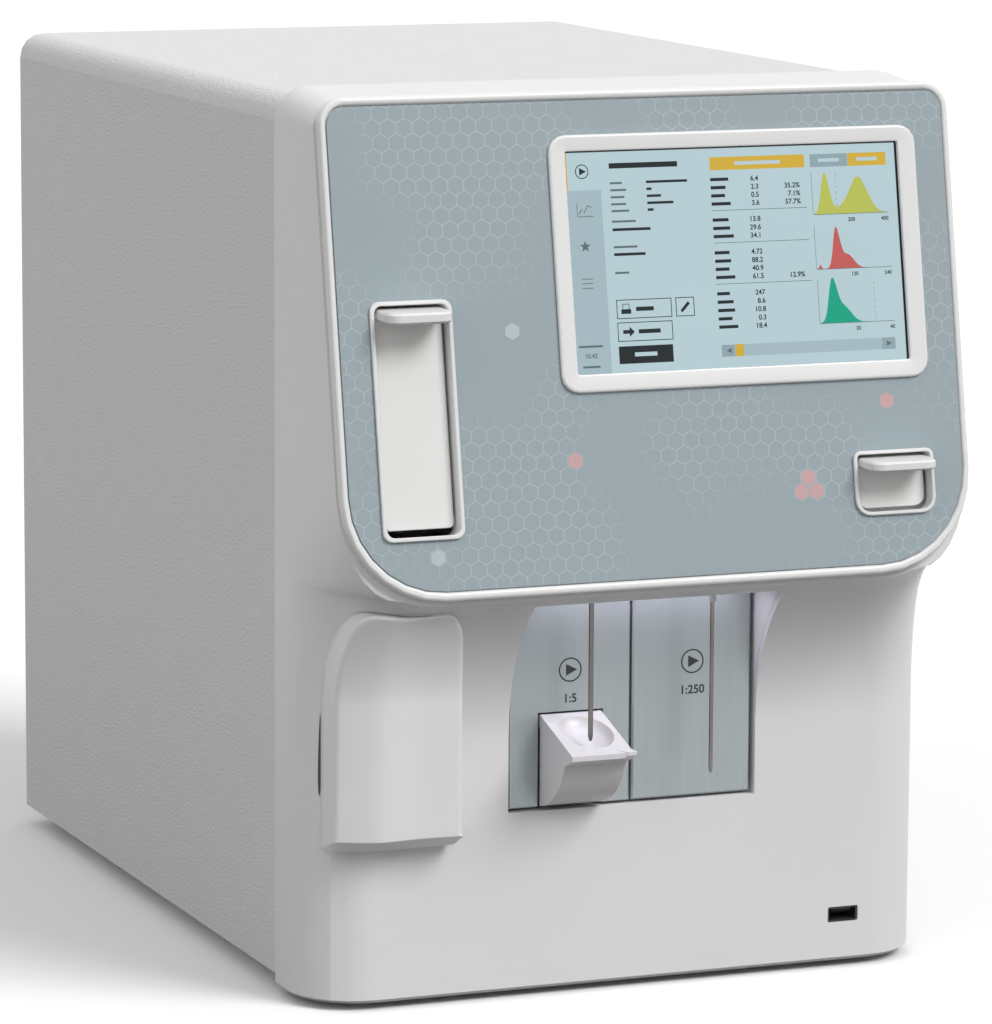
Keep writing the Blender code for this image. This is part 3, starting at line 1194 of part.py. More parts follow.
def plate_carrier():
    """The fixed frame behind the plates, which guides their posts and holds the cup's pin."""
    back = CARRIER_Y + CARRIER_THICK
    carrier = box("plate_carrier", (BAY_LEFT + GAP, BAY_RIGHT - GAP), (CARRIER_Y, back),
                  (BAY_LOW + GAP, BAY_HIGH - GAP), SHELL_WHITE)
    holes = []
    for left, right in PLATE_SPANS.values():
        for x, z in post_places(left, right):
            holes.append(rod("post_hole", POST_RADIUS + GAP, -back - OVERRUN,
                             -CARRIER_Y + OVERRUN, x, 0, z, "Y"))
    notch = box("carrier_notch", (CUTOUT_LEFT, CUTOUT_RIGHT), (CARRIER_Y - OVERRUN, back + OVERRUN),
                (BAY_LOW - OVERRUN, CUTOUT_TOP))
    cut(carrier, notch, *holes)
    for x in (CUTOUT_LEFT - CHEEK_WIDE / 2, CUTOUT_RIGHT + CHEEK_WIDE / 2):
        cheek = box("cheek", (x - CHEEK_WIDE / 2, x + CHEEK_WIDE / 2),
                    (CARRIER_Y - CHEEK_PROUD, back + CHEEK_HIGH / 2),
                    (CUP_PIN_Z - CHEEK_HIGH, CUP_PIN_Z + CHEEK_HIGH))
        join(carrier, cheek)
    reach = CUP_PIN_IN + GAP
    return cut(carrier, rod("pin_bore", CUP_PIN_RADIUS + GAP, CUTOUT_LEFT - reach,
                            CUTOUT_RIGHT + reach, 0, CUP_PIN_Y, CUP_PIN_Z, "X"))


# Cup: a quarter round drip cup with a shallow dish and a beak at its right corner
def cup_top(share, x):
    """A point of the cup's sloping top; share 0 is its back edge and 1 its front lip."""
    along = CUP_REACH * share
    return (x, PLATE_FRONT_Y - along * math.cos(CUP_SLOPE),
            CUP_TOP_Z - along * math.sin(CUP_SLOPE))


def cup_side():
    """The cup's outline in y and z: top, lip, quarter round and back."""
    _, lip_y, lip_z = cup_top(1, 0)
    points = [(PLATE_FRONT_Y, CUP_TOP_Z), (lip_y, lip_z), (lip_y, lip_z - CUP_LIP_THICK)]
    start = math.degrees(math.atan2(lip_z - CUP_LIP_THICK - CUP_PIN_Z, lip_y - CUP_PIN_Y)) % 360
    low = 270 - math.degrees(math.asin((CUP_PIN_Y - PLATE_FRONT_Y) / CUP_ARC))
    points += arc(CUP_PIN_Y, CUP_PIN_Z, CUP_ARC, start + CUP_LIP_TURN, low, FINE_STEPS)
    return points


def drip_cup():
    outline = cup_side()
    cup = prism("drip_cup", outline, CUP_LEFT, CUP_RIGHT, SIDEWAYS, CLEAR_WHITE)
    _, lip_y, lip_z = cup_top(1, 0)
    beak_x = CUP_RIGHT + CUP_FLARE
    beak = loft("beak", [
        [Vector((CUP_RIGHT - CUP_BEAK * 2, lip_y + CUP_BEAK, lip_z + CUP_LIP_THICK / 2)),
         Vector((CUP_RIGHT - GAP, lip_y + CUP_BEAK, lip_z + CUP_LIP_THICK / 2)),
         Vector((CUP_RIGHT - GAP, lip_y + CUP_BEAK, lip_z - CUP_BEAK)),
         Vector((CUP_RIGHT - CUP_BEAK * 2, lip_y + CUP_BEAK, lip_z - CUP_BEAK))],
        [Vector((beak_x - CUP_BEAK, lip_y - CUP_FLARE, lip_z + CUP_LIP_THICK / 4)),
         Vector((beak_x, lip_y - CUP_FLARE / 2, lip_z + CUP_LIP_THICK / 4)),
         Vector((beak_x, lip_y - CUP_FLARE / 2, lip_z - CUP_LIP_THICK / 2)),
         Vector((beak_x - CUP_BEAK, lip_y - CUP_FLARE, lip_z - CUP_LIP_THICK / 2))],
    ])
    join(cup, beak)
    middle = (CUP_LEFT + CUP_RIGHT) / 2
    place = Matrix.Translation(cup_top(DISH_PLACE_SHARE, middle)) @ Matrix.Rotation(
        CUP_SLOPE, 4, "X")
    half = (CUP_RIGHT - CUP_LEFT) / 2 - CUP_WALL
    deep = half * DISH_LONG_SHARE
    dish = []
    for step in range(CORNER_STEPS + 1):
        turn = math.pi / 2 * step / CORNER_STEPS
        wide = max(math.sin(turn), DISH_FLOOR_SHARE)
        ring = [(x * half * wide, y * deep * wide) for x, y in disc(0, 0, 1, ROUND_SIDES)]
        dish.append((ring, -CUP_DISH * math.cos(turn)))
    dish.append(([(x * half, y * deep) for x, y in disc(0, 0, 1, ROUND_SIDES)], CUP_DISH))
    cut(cup, stack("dish", dish, place))
    for x in (CUP_LEFT + CUP_EAR_WIDE / 2, CUP_RIGHT - CUP_EAR_WIDE / 2):
        ear = rod("ear", CUP_EAR_RADIUS, x - CUP_EAR_WIDE / 2, x + CUP_EAR_WIDE / 2,
                  0, CUP_PIN_Y, CUP_PIN_Z, "X")
        arm = box("ear_arm", (x - CUP_EAR_WIDE / 2, x + CUP_EAR_WIDE / 2),
                  (PLATE_FRONT_Y - CUP_EAR_WIDE, CUP_PIN_Y),
                  (CUP_PIN_Z - CUP_EAR_RADIUS, CUP_PIN_Z + CUP_EAR_RADIUS))
        join(cup, join(ear, arm))
    return cut(cup, rod("pin_bore", CUP_PIN_RADIUS + GAP, CUP_LEFT - OVERRUN, CUP_RIGHT + OVERRUN,
                        0, CUP_PIN_Y, CUP_PIN_Z, "X"))


def cup_pin():
    return rod("cup_pin", CUP_PIN_RADIUS, CUTOUT_LEFT - CUP_PIN_IN, CUTOUT_RIGHT + CUP_PIN_IN,
               0, CUP_PIN_Y, CUP_PIN_Z, "X", finish=STEEL)


# Needles, their carriages and the lift frame above the bay
def needle(name, x, radius, tip):
    return turned(name, [(radius / 2, tip), (radius, tip + radius * 2), (radius, NEEDLE_TOP)],
                  x, NEEDLE_Y, 0, sides=SMALL_SIDES, finish=STEEL)


def needle_ferrule():
    collar = FERRULE_RADIUS + NEEDLE_HOLE
    top = BAY_HIGH + LINER_WALL
    ferrule = turned("needle_ferrule", [
        (FERRULE_RADIUS, BAY_HIGH - FERRULE_DOWN), (FERRULE_RADIUS, top + GAP),
        (collar, top + GAP), (collar, top + FERRULE_UP),
    ], NEEDLE_RIGHT_X, NEEDLE_Y, 0, finish=WHITE)
    return cut(ferrule, needle_rod("ferrule_bore", NEEDLE_RIGHT_X, NEEDLE_RIGHT_RADIUS + GAP,
                                   BAY_HIGH - FERRULE_DOWN - OVERRUN, top + FERRULE_UP + OVERRUN))


def needle_carriage(name, x, radius):
    block = box(name, (x - CARRIAGE_HALF, x + CARRIAGE_HALF),
                (NEEDLE_Y - CARRIAGE_FRONT, ROD_Y + CARRIAGE_BACK),
                (CARRIAGE_LOW, CARRIAGE_HIGH), BLACK)
    return cut(block,
               needle_rod("seat", x, radius + GAP, CARRIAGE_LOW - OVERRUN,
                          CARRIAGE_HIGH + OVERRUN),
               rod("rod_bore", ROD_RADIUS + GAP, CARRIAGE_LOW - OVERRUN,
                   CARRIAGE_HIGH + OVERRUN, x, ROD_Y, 0))


def lift_rods():
    low = BAY_HIGH + LINER_WALL + GAP + FRAME_PLATE / 2
    return [(x, low, FRAME_TOP - FRAME_PLATE / 2) for x in (NEEDLE_LEFT_X, NEEDLE_RIGHT_X)]


def lift_frame():
    """A bent bracket on the bay's ceiling that holds both guide rods."""
    low = BAY_HIGH + LINER_WALL + GAP
    plate = FRAME_PLATE
    left = NEEDLE_LEFT_X - FRAME_SIDE
    right = NEEDLE_RIGHT_X + FRAME_SIDE
    outline = [
        (FRAME_FRONT_Y, low), (FRAME_BACK_Y, low), (FRAME_BACK_Y, FRAME_TOP),
        (FRAME_FRONT_Y, FRAME_TOP), (FRAME_FRONT_Y, FRAME_TOP - plate),
        (FRAME_BACK_Y - plate, FRAME_TOP - plate), (FRAME_BACK_Y - plate, low + plate),
        (FRAME_FRONT_Y, low + plate),
    ]
    frame = prism("lift_frame", outline, left, right, SIDEWAYS, STEEL)
    return join(frame, *[rod("lift_rod", ROD_RADIUS, rod_low, rod_high, x, ROD_Y, 0)
                         for x, rod_low, rod_high in lift_rods()])


# Mixer: the well behind the hood, the rotor that turns tubes over, and its motor
def mixer_well():
    wall = WELL_WALL
    front = FRONT_Y - BODY_WIDE / 4
    well = box("mixer_well", (WELL_LEFT - wall, WELL_RIGHT + wall), (front, WELL_BACK_Y + wall),
               (WELL_LOW - wall, WELL_HIGH + wall), SHELL_WHITE)
    clear_of_shell(well, WELL_BACK_Y + wall * 4)
    hollow = box("well_hollow", (WELL_LEFT, WELL_RIGHT), (front - OVERRUN, WELL_BACK_Y),
                 (WELL_LOW, WELL_HIGH))
    bore = rod("shaft_bore", ROTOR_SHAFT + GAP, WELL_LEFT - wall * 2, WELL_RIGHT + wall * 2,
               0, ROTOR_Y, ROTOR_Z, "X")
    return cut(well, hollow, bore)


def mixer_rotor():
    """A bar with two tube channels, turned end over end by its cross shaft."""
    middle = (WELL_LEFT + WELL_RIGHT) / 2
    place = Matrix.Translation((middle, ROTOR_Y, ROTOR_Z)) @ SIDEWAYS
    half = ROTOR_WIDE / 2
    rotor = prism("mixer_rotor", rounded(-ROTOR_HALF, ROTOR_HALF, -ROTOR_RADIUS, ROTOR_RADIUS,
                                         ROTOR_HALF / 2), -half, half, place, SHELL_WHITE)
    trim(rotor, prism("rotor_round", disc(0, 0, ROTOR_RADIUS, ROUND_SIDES * 2), -half - OVERRUN,
                      half + OVERRUN, place))
    channels = [rod("tube_channel", TUBE_BORE, -ROTOR_RADIUS - OVERRUN, ROTOR_RADIUS + OVERRUN,
                    middle, ROTOR_Y + side * TUBE_OFFSET, ROTOR_Z)
                for side in (-1, 1)]
    cut(rotor, *channels)
    hub = half + ROTOR_HUB_LONG
    return join(rotor,
                rod("shaft", ROTOR_SHAFT, WELL_LEFT - WELL_WALL / 2, motor_span()[0] + hub,
                    0, ROTOR_Y, ROTOR_Z, "X"),
                rod("hub_left", ROTOR_HUB / 2, middle - hub, middle - half + GAP,
                    0, ROTOR_Y, ROTOR_Z, "X"),
                rod("hub_right", ROTOR_HUB / 2, middle + half - GAP, middle + hub,
                    0, ROTOR_Y, ROTOR_Z, "X"))


def motor_span():
    low = WELL_RIGHT + WELL_WALL + GAP
    return low, low + MIXER_MOTOR_LONG


def mixer_motor():
    low, high = motor_span()
    cap = MIXER_MOTOR_RADIUS - OVERRUN
    motor = turned("mixer_motor", [
        (cap, low), (MIXER_MOTOR_RADIUS, low + OVERRUN),
        (MIXER_MOTOR_RADIUS, high - OVERRUN), (cap, high),
    ], 0, ROTOR_Y, ROTOR_Z, "X", finish=BLACK)
    return cut(motor, rod("motor_bore", ROTOR_SHAFT + GAP, low - OVERRUN, high + OVERRUN,
                          0, ROTOR_Y, ROTOR_Z, "X"))


def hood_pin():
    knuckles = hood_knuckle_places()
    half = HOOD_KNUCKLE_WIDE / 2
    return rod("hood_pin", HOOD_PIN_RADIUS, knuckles[0] - half, hood_lug_places()[1] + half * 2,
               0, HOOD_PIN_Y, HOOD_PIN_Z, "X", finish=STEEL)


# USB socket low on the front
def usb_socket():
    rect = (USB_LEFT + GAP, USB_RIGHT - GAP, USB_LOW + GAP, USB_HIGH - GAP)
    front = -FRONT_Y - USB_FRAME
    body = prism("usb_socket", rounded(*rect, USB_CORNER), front - USB_DEEP, front, FACING, STEEL)
    back = shrunk(rect, -USB_FRAME * 2)
    rear = -FRONT_Y - SHELL_WALL - GAP
    join(body, prism("usb_flange", rounded(*back), front - USB_DEEP + USB_FRAME, rear, FACING))
    inside = shrunk(rect, USB_FRAME)
    middle = (rect[2] + rect[3]) / 2 + USB_TONGUE / 2
    hollow = prism("usb_hollow", rounded(*inside), front - USB_DEEP + USB_FRAME * 3,
                   front + OVERRUN, FACING)
    cut(hollow, prism("usb_tongue", rounded(inside[0] + USB_TONGUE, inside[1] - USB_TONGUE,
                                            middle, middle + USB_TONGUE),
                      front - USB_DEEP, front - USB_TONGUE, FACING))
    return cut(body, hollow)


# Cover, floor, feet and rear panel
def cover_outline(inset):
    half, top, radius = COVER_HALF - inset, COVER_TOP - inset, COVER_RADIUS - inset
    low = COVER_LOW
    points = arc(half - radius, top - radius, radius, 0, 90)
    points += arc(-half + radius, top - radius, radius, 90, 180)
    return [(half, low)] + points + [(-half, low)]


def top_cover():
    outline = cover_outline(0) + list(reversed(cover_outline(COVER_SHEET)))
    return prism("top_cover", outline, -REAR_Y, -SEAM_Y - GAP, FACING, COVER_PAINT)


def base_plate():
    half = BODY_WIDE / 2 - SHELL_WALL - GAP
    return box("base_plate", (-half, half), (BASE_FRONT_Y, REAR_Y - REAR_INSET - REAR_SHEET - GAP),
               (FLOOR_Z, BASE_TOP), STEEL)


def foot(name, x, y, top):
    narrow = FOOT_RADIUS - FOOT_TAPER
    return turned(name, [(narrow, 0), (FOOT_RADIUS, FOOT_TAPER), (FOOT_RADIUS, top)],
                  x, y, 0, finish=RUBBER)


def rear_span():
    """The y of the rear panel's outer and inner faces."""
    outer = REAR_Y - REAR_INSET
    return outer, outer - REAR_SHEET


def rear_hole(name, outline):
    outer, inner = rear_span()
    return prism(name, outline, -outer - OVERRUN, -inner + OVERRUN, FACING)


def port_places():
    return [PORT_X + PORT_PITCH * i for i in range(PORT_COUNT)]


def data_places():
    return [DATA_X + DATA_PITCH * i for i in range(DATA_COUNT)]


def rear_panel():
    outer, inner = rear_span()
    edge = cover_outline(COVER_SHEET + GAP)
    low = COVER_LOW
    outline = [(x, max(z, low)) for x, z in edge]
    panel = prism("rear_panel", outline, -outer, -inner, FACING, COVER_PAINT)
    holes = [rear_hole("fan_hole", disc(FAN_X, FAN_Z, FAN_BORE, ROUND_SIDES))]
    holes.append(rear_hole("inlet_hole", rounded(
        INLET_X - INLET_HALF_WIDE - GAP, INLET_X + INLET_HALF_WIDE + GAP,
        INLET_Z - INLET_HALF_HIGH - GAP, INLET_Z + INLET_HALF_HIGH + GAP, INLET_CORNER)))
    for x in port_places():
        holes.append(rear_hole("port_hole", disc(x, PORT_Z, PORT_BARB + GAP)))
    for x in data_places():
        holes.append(rear_hole("data_hole", rounded(
            x - DATA_HALF_WIDE - GAP, x + DATA_HALF_WIDE + GAP,
            DATA_Z - DATA_HALF_HIGH - GAP, DATA_Z + DATA_HALF_HIGH + GAP)))
    for i in range(VENT_COUNT):
        z = VENT_Z + VENT_PITCH * (i - (VENT_COUNT - 1) / 2)
        holes.append(rear_hole("vent", rounded(
            VENT_X - VENT_WIDE / 2, VENT_X + VENT_WIDE / 2, z - VENT_HIGH / 2, z + VENT_HIGH / 2)))
    return cut(panel, *holes)


# Fan behind the rear panel
def fan_span():
    """The y of the fan frame's rear and front faces."""
    rear = rear_span()[1] - GAP
    return rear, rear - FAN_THICK


def fan_frame():
    rear, front = fan_span()
    half = FAN_HALF
    square = rounded(FAN_X - half, FAN_X + half, FAN_Z - half, FAN_Z + half, FAN_CORNER)
    frame = prism("fan_frame", square, -rear, -front, FACING, BLACK)
    cut(frame, rod("fan_bore", FAN_BORE, -rear - OVERRUN, -front + OVERRUN, FAN_X, 0, FAN_Z, "Y",
                   ROUND_SIDES))
    arms = []
    low, high = -front - FAN_SPIDER, -front
    for turn in (0, math.pi / 2):
        place = Matrix.Translation((FAN_X, 0, FAN_Z)) @ Matrix.Rotation(
            turn + math.pi / 4, 4, "Y") @ FACING
        reach = FAN_BORE + OVERRUN
        arms.append(prism("arm", rounded(-reach, reach, -FAN_SPIDER / 2, FAN_SPIDER / 2),
                          low, high, place))
    arms.append(rod("hub", FAN_HUB, low, high, FAN_X, 0, FAN_Z, "Y", ROUND_SIDES))
    join(frame, *arms)
    return cut(frame, rod("pin_bore", FAN_PIN + GAP, low - OVERRUN, high + OVERRUN,
                          FAN_X, 0, FAN_Z, "Y"))


def fan_rotor():
    rear, front = fan_span()
    low, high = -rear + OVERRUN / 2, -front - FAN_SPIDER - GAP * 2
    rotor = rod("fan_rotor", FAN_HUB, low, high, FAN_X, 0, FAN_Z, "Y", ROUND_SIDES, BLACK)
    middle = (low + high) / 2
    parts = []
    for i in range(FAN_BLADES):
        place = (Matrix.Translation((FAN_X, -middle, FAN_Z))
                 @ Matrix.Rotation(math.tau * i / FAN_BLADES, 4, "Y")
                 @ Matrix.Rotation(FAN_BLADE_TURN, 4, "X"))
        parts.append(prism("blade", rounded(FAN_HUB - OVERRUN, FAN_BLADE_TIP,
                                            -FAN_BLADE_DEEP / 2, FAN_BLADE_DEEP / 2),
                           -FAN_BLADE_THICK / 2, FAN_BLADE_THICK / 2, place))
    parts.append(rod("fan_pin", FAN_PIN, middle, -front - GAP, FAN_X, 0, FAN_Z, "Y"))
    return join(rotor, *parts)


def fan_guard():
    outer = rear_span()[0] + GAP
    low, high = -outer - GUARD_THICK, -outer
    guard = rod("fan_guard", GUARD_RADIUS, low, high, FAN_X, 0, FAN_Z, "Y", ROUND_SIDES, STEEL)
    pitch = (GUARD_RADIUS - GUARD_HUB) / GUARD_RINGS
    for i in range(GUARD_RINGS):
        outside = GUARD_HUB + pitch * (i + 1) - GUARD_WIRE
        inside = GUARD_HUB + pitch * i
        gap = rod("guard_gap", outside, low - OVERRUN, high + OVERRUN, FAN_X, 0, FAN_Z, "Y",
                  ROUND_SIDES)
        cut(gap, rod("guard_ring", inside, low - LIMIT / 9, high + LIMIT / 9, FAN_X, 0, FAN_Z, "Y",
                     ROUND_SIDES))
        for turn in (0, math.pi / 2):
            place = Matrix.Translation((FAN_X, 0, FAN_Z)) @ Matrix.Rotation(turn, 4, "Y") @ FACING
            cut(gap, prism("guard_bar", rounded(-FAN_HALF * 2, FAN_HALF * 2, -GUARD_WIRE / 2,
                                                GUARD_WIRE / 2), low - LIMIT / 9, high + LIMIT / 9,
                           place))
        cut(guard, gap)
    return guard


# Mains inlet, its rocker switch, the reagent ports and the data ports
def inlet_block(name, half_wide, half_high, middle, low, high, corner=0, finish=None):
    """A block square to the rear; low and high are y."""
    outline = rounded(INLET_X - half_wide, INLET_X + half_wide, middle - half_high,
                      middle + half_high, corner)
    return prism(name, outline, -high, -low, FACING, finish)


def switch_pivot():
    return Vector((INLET_X, rear_span()[0] + INLET_PROUD, INLET_Z + SWITCH_Z_UP))


def mains_inlet():
    outer = rear_span()[0] + GAP
    face = outer + INLET_PROUD
    inlet = inlet_block("mains_inlet", INLET_HALF_WIDE + INLET_FLANGE,
                        INLET_HALF_HIGH + INLET_FLANGE, INLET_Z, outer, face, INLET_CORNER, BLACK)
    join(inlet, inlet_block("inlet_body", INLET_HALF_WIDE, INLET_HALF_HIGH, INLET_Z,
                            outer - INLET_DEEP, face - GAP, INLET_CORNER))
    socket_z = INLET_Z - SOCKET_Z_DOWN
    socket = inlet_block("socket", SOCKET_HALF_WIDE, SOCKET_HALF_HIGH, socket_z,
                         face - SOCKET_DEEP, face + OVERRUN, INLET_CORNER)
    pins = []
    for across, up in ((-1, -1), (1, -1), (0, 1)):
        x = INLET_X + across * SOCKET_PIN_SPREAD
        z = socket_z + up * SOCKET_PIN_HIGH / 2
        pins.append(prism("pin", rounded(x - SOCKET_PIN_WIDE / 2, x + SOCKET_PIN_WIDE / 2,
                                         z - SOCKET_PIN_HIGH / 2, z + SOCKET_PIN_HIGH / 2),
                          -face + OVERRUN, -face + SOCKET_DEEP + OVERRUN, FACING))
    cut(socket, *pins)
    pivot = switch_pivot()
    space = inlet_block("switch_space", SWITCH_HALF_WIDE + SWITCH_CLEAR,
                        SWITCH_HALF_HIGH + SWITCH_CLEAR, pivot.z, face - SWITCH_DEEP,
                        face + OVERRUN)
    reach = SWITCH_HALF_WIDE + SWITCH_CLEAR + SWITCH_AXLE_IN
    bore = rod("axle_bore", SWITCH_AXLE + GAP, -reach, reach, pivot.x, pivot.y - SWITCH_PEAK,
               pivot.z, "X")
    return cut(inlet, socket, space, bore)


def rocker_switch():
    pivot = switch_pivot() - Vector((0, SWITCH_PEAK, 0))
    outline = [
        (-SWITCH_IN, -SWITCH_IN_HALF), (SWITCH_PROUD, -SWITCH_HALF_HIGH),
        (SWITCH_PEAK, 0), (SWITCH_PROUD, SWITCH_HALF_HIGH), (-SWITCH_IN, SWITCH_IN_HALF),
    ]
    place = Matrix.Translation(pivot) @ Matrix.Rotation(SWITCH_TILT, 4, "X") @ SIDEWAYS
    switch = prism("rocker_switch", outline, -SWITCH_HALF_WIDE, SWITCH_HALF_WIDE, place, BLACK)
    reach = SWITCH_HALF_WIDE + SWITCH_CLEAR + SWITCH_AXLE_IN - GAP
    return join(switch, rod("axle", SWITCH_AXLE, -reach, reach, *pivot, "X"))


def reagent_ports():
    outer = rear_span()[0]
    face = outer + GAP
    places = port_places()
    plate = prism("reagent_ports", rounded(places[0] - PORT_PITCH / 2, places[-1] + PORT_PITCH / 2,
                                           PORT_Z - PORT_PLATE_HIGH / 2,
                                           PORT_Z + PORT_PLATE_HIGH / 2, OVERRUN),
                  -face - PORT_PLATE_THICK, -face, FACING, WHITE)
    tip = -outer - PORT_LONG
    for x in places:
        join(plate, turned("port", [
            (PORT_TUBE, tip), (PORT_BARB, tip + PORT_TUBE), (PORT_TUBE, tip + PORT_TUBE + GAP),
            (PORT_TUBE, -face - PORT_COLLAR_LONG), (PORT_COLLAR, -face - PORT_COLLAR_LONG),
            (PORT_COLLAR, -face - PORT_PLATE_THICK / 2), (PORT_TUBE, -face - PORT_PLATE_THICK / 2),
            (PORT_TUBE, -outer + PORT_IN),
        ], x, 0, PORT_Z, "Y", SMALL_SIDES))
        cut(plate, rod("port_hole", PORT_HOLE, tip - OVERRUN, -outer + PORT_IN + OVERRUN,
                       x, 0, PORT_Z, "Y"))
    return plate


def data_ports():
    outer, inner = rear_span()
    inside = inner - GAP
    places = data_places()
    plate = prism("data_ports", rounded(places[0] - DATA_PITCH / 2, places[-1] + DATA_PITCH / 2,
                                        DATA_Z - DATA_PITCH / 2, DATA_Z + DATA_PITCH / 2),
                  -inside, -inside + DATA_PLATE, FACING, STEEL)
    for x in places:
        rect = (x - DATA_HALF_WIDE, x + DATA_HALF_WIDE, DATA_Z - DATA_HALF_HIGH,
                DATA_Z + DATA_HALF_HIGH)
        join(plate, prism("port_shell", rounded(*rect), -outer - GAP, -outer + DATA_DEEP, FACING))
        cut(plate, prism("port_space", rounded(*shrunk(rect, DATA_WALL)), -outer - OVERRUN,
                         -outer + DATA_DEEP - DATA_WALL, FACING))
    return plate


# What stands on the floor inside the cover
def power_supply():
    supply = box("power_supply", (SUPPLY_LEFT, SUPPLY_RIGHT), (SUPPLY_FRONT_Y, SUPPLY_BACK_Y),
                 (STAND_Z, STAND_Z + SUPPLY_HIGH), STEEL)
    middle = (SUPPLY_FRONT_Y + SUPPLY_BACK_Y) / 2
    top = STAND_Z + SUPPLY_HIGH
    slots = []
    for i in range(SUPPLY_SLOTS):
        y = middle + SUPPLY_SLOT_PITCH * (i - (SUPPLY_SLOTS - 1) / 2)
        slots.append(box("slot", (SUPPLY_LEFT + SUPPLY_SLOT_PITCH, SUPPLY_RIGHT - SUPPLY_SLOT_PITCH),
                         (y - SUPPLY_SLOT_WIDE / 2, y + SUPPLY_SLOT_WIDE / 2),
                         (top - SUPPLY_SLOT_DEEP, top + OVERRUN)))
    return cut(supply, *slots)


def main_board():
    low = STAND_Z + BOARD_UP
    board = box("main_board", (BOARD_LEFT, BOARD_RIGHT), (BOARD_FRONT_Y, BOARD_BACK_Y),
                (low, low + BOARD_THICK), BOARD_GREEN)
    posts = []
    for x in (BOARD_LEFT + BOARD_POST_IN, BOARD_RIGHT - BOARD_POST_IN):
        for y in (BOARD_FRONT_Y + BOARD_POST_IN, BOARD_BACK_Y - BOARD_POST_IN):
            posts.append(rod("post", BOARD_POST, STAND_Z, low + BOARD_THICK / 2, x, y, 0))
    middle_x, middle_y = (BOARD_LEFT + BOARD_RIGHT) / 2, (BOARD_FRONT_Y + BOARD_BACK_Y) / 2
    for side in (-1, 1):
        x, y = middle_x + side * CHIP_SPREAD, middle_y + side * CHIP_SPREAD
        posts.append(box("chip", (x - CHIP_HALF, x + CHIP_HALF), (y - CHIP_HALF, y + CHIP_HALF),
                         (low + BOARD_THICK / 2, low + BOARD_THICK + CHIP_HIGH)))
    return join(board, *posts)


def pump_places():
    middle = (PUMP_LEFT + PUMP_RIGHT) / 2
    return middle - PUMP_SPREAD, middle + PUMP_SPREAD, (PUMP_FRONT_Y + PUMP_BACK_Y) / 2


def syringe_pump():
    top = STAND_Z + PUMP_HIGH
    pump = box("syringe_pump", (PUMP_LEFT, PUMP_RIGHT), (PUMP_FRONT_Y, PUMP_BACK_Y),
               (STAND_Z, top), SHELL_WHITE)
    left, right, y = pump_places()
    return cut(pump, *[rod("barrel", PUMP_BORE, top - PUMP_BARREL_DEEP, top + OVERRUN, x, y, 0,
                           sides=ROUND_SIDES) for x in (left, right)])


def syringe_plunger(name, x):
    top = STAND_Z + PUMP_HIGH
    low = top - PUMP_BARREL_DEEP + GAP
    _, _, y = pump_places()
    return turned(name, [
        (PUMP_ROD, low), (PUMP_ROD, low + PUMP_ROD_LONG),
        (PUMP_HEAD, low + PUMP_ROD_LONG), (PUMP_HEAD, low + PUMP_ROD_LONG + PUMP_HEAD_THICK),
    ], x, y, 0, finish=STEEL)


def valve_block():
    block = box("valve_block", (VALVE_LEFT, VALVE_RIGHT), (VALVE_FRONT_Y, VALVE_BACK_Y),
                (STAND_Z, STAND_Z + VALVE_HIGH), CLEAR_WHITE)
    coils = []
    wide = (VALVE_RIGHT - VALVE_LEFT) / VALVE_COUNT_ACROSS
    high = VALVE_HIGH / VALVE_COUNT_UP
    for i in range(VALVE_COUNT_ACROSS):
        for j in range(VALVE_COUNT_UP):
            coils.append(rod("coil", VALVE_COIL, -VALVE_FRONT_Y - OVERRUN,
                             -VALVE_FRONT_Y + VALVE_COIL_LONG, VALVE_LEFT + wide * (i + 1 / 2), 0,
                             STAND_Z + high * (j + 1 / 2), "Y"))
    return join(block, *coils)


def measuring_chamber():
    up = STAND_Z + CHAMBER_UP
    profile = [
        (CHAMBER_RADIUS, STAND_Z), (CHAMBER_RADIUS, STAND_Z + CHAMBER_BASE),
        (CHAMBER_POST, STAND_Z + CHAMBER_BASE * 2), (CHAMBER_POST, up),
        (CHAMBER_RADIUS, up + CHAMBER_POST * 2), (CHAMBER_RADIUS, up + CHAMBER_HIGH),
    ]
    chamber = turned("measuring_chamber", profile, CHAMBER_X, CHAMBER_Y, 0, finish=CLEAR_WHITE)
    inside = CHAMBER_RADIUS - CHAMBER_WALL
    return cut(chamber, turned("chamber_space", [
        (CHAMBER_POST / 2, up + CHAMBER_WALL * 2), (inside, up + CHAMBER_POST * 2),
        (inside, up + CHAMBER_HIGH + OVERRUN),
    ], CHAMBER_X, CHAMBER_Y, 0))


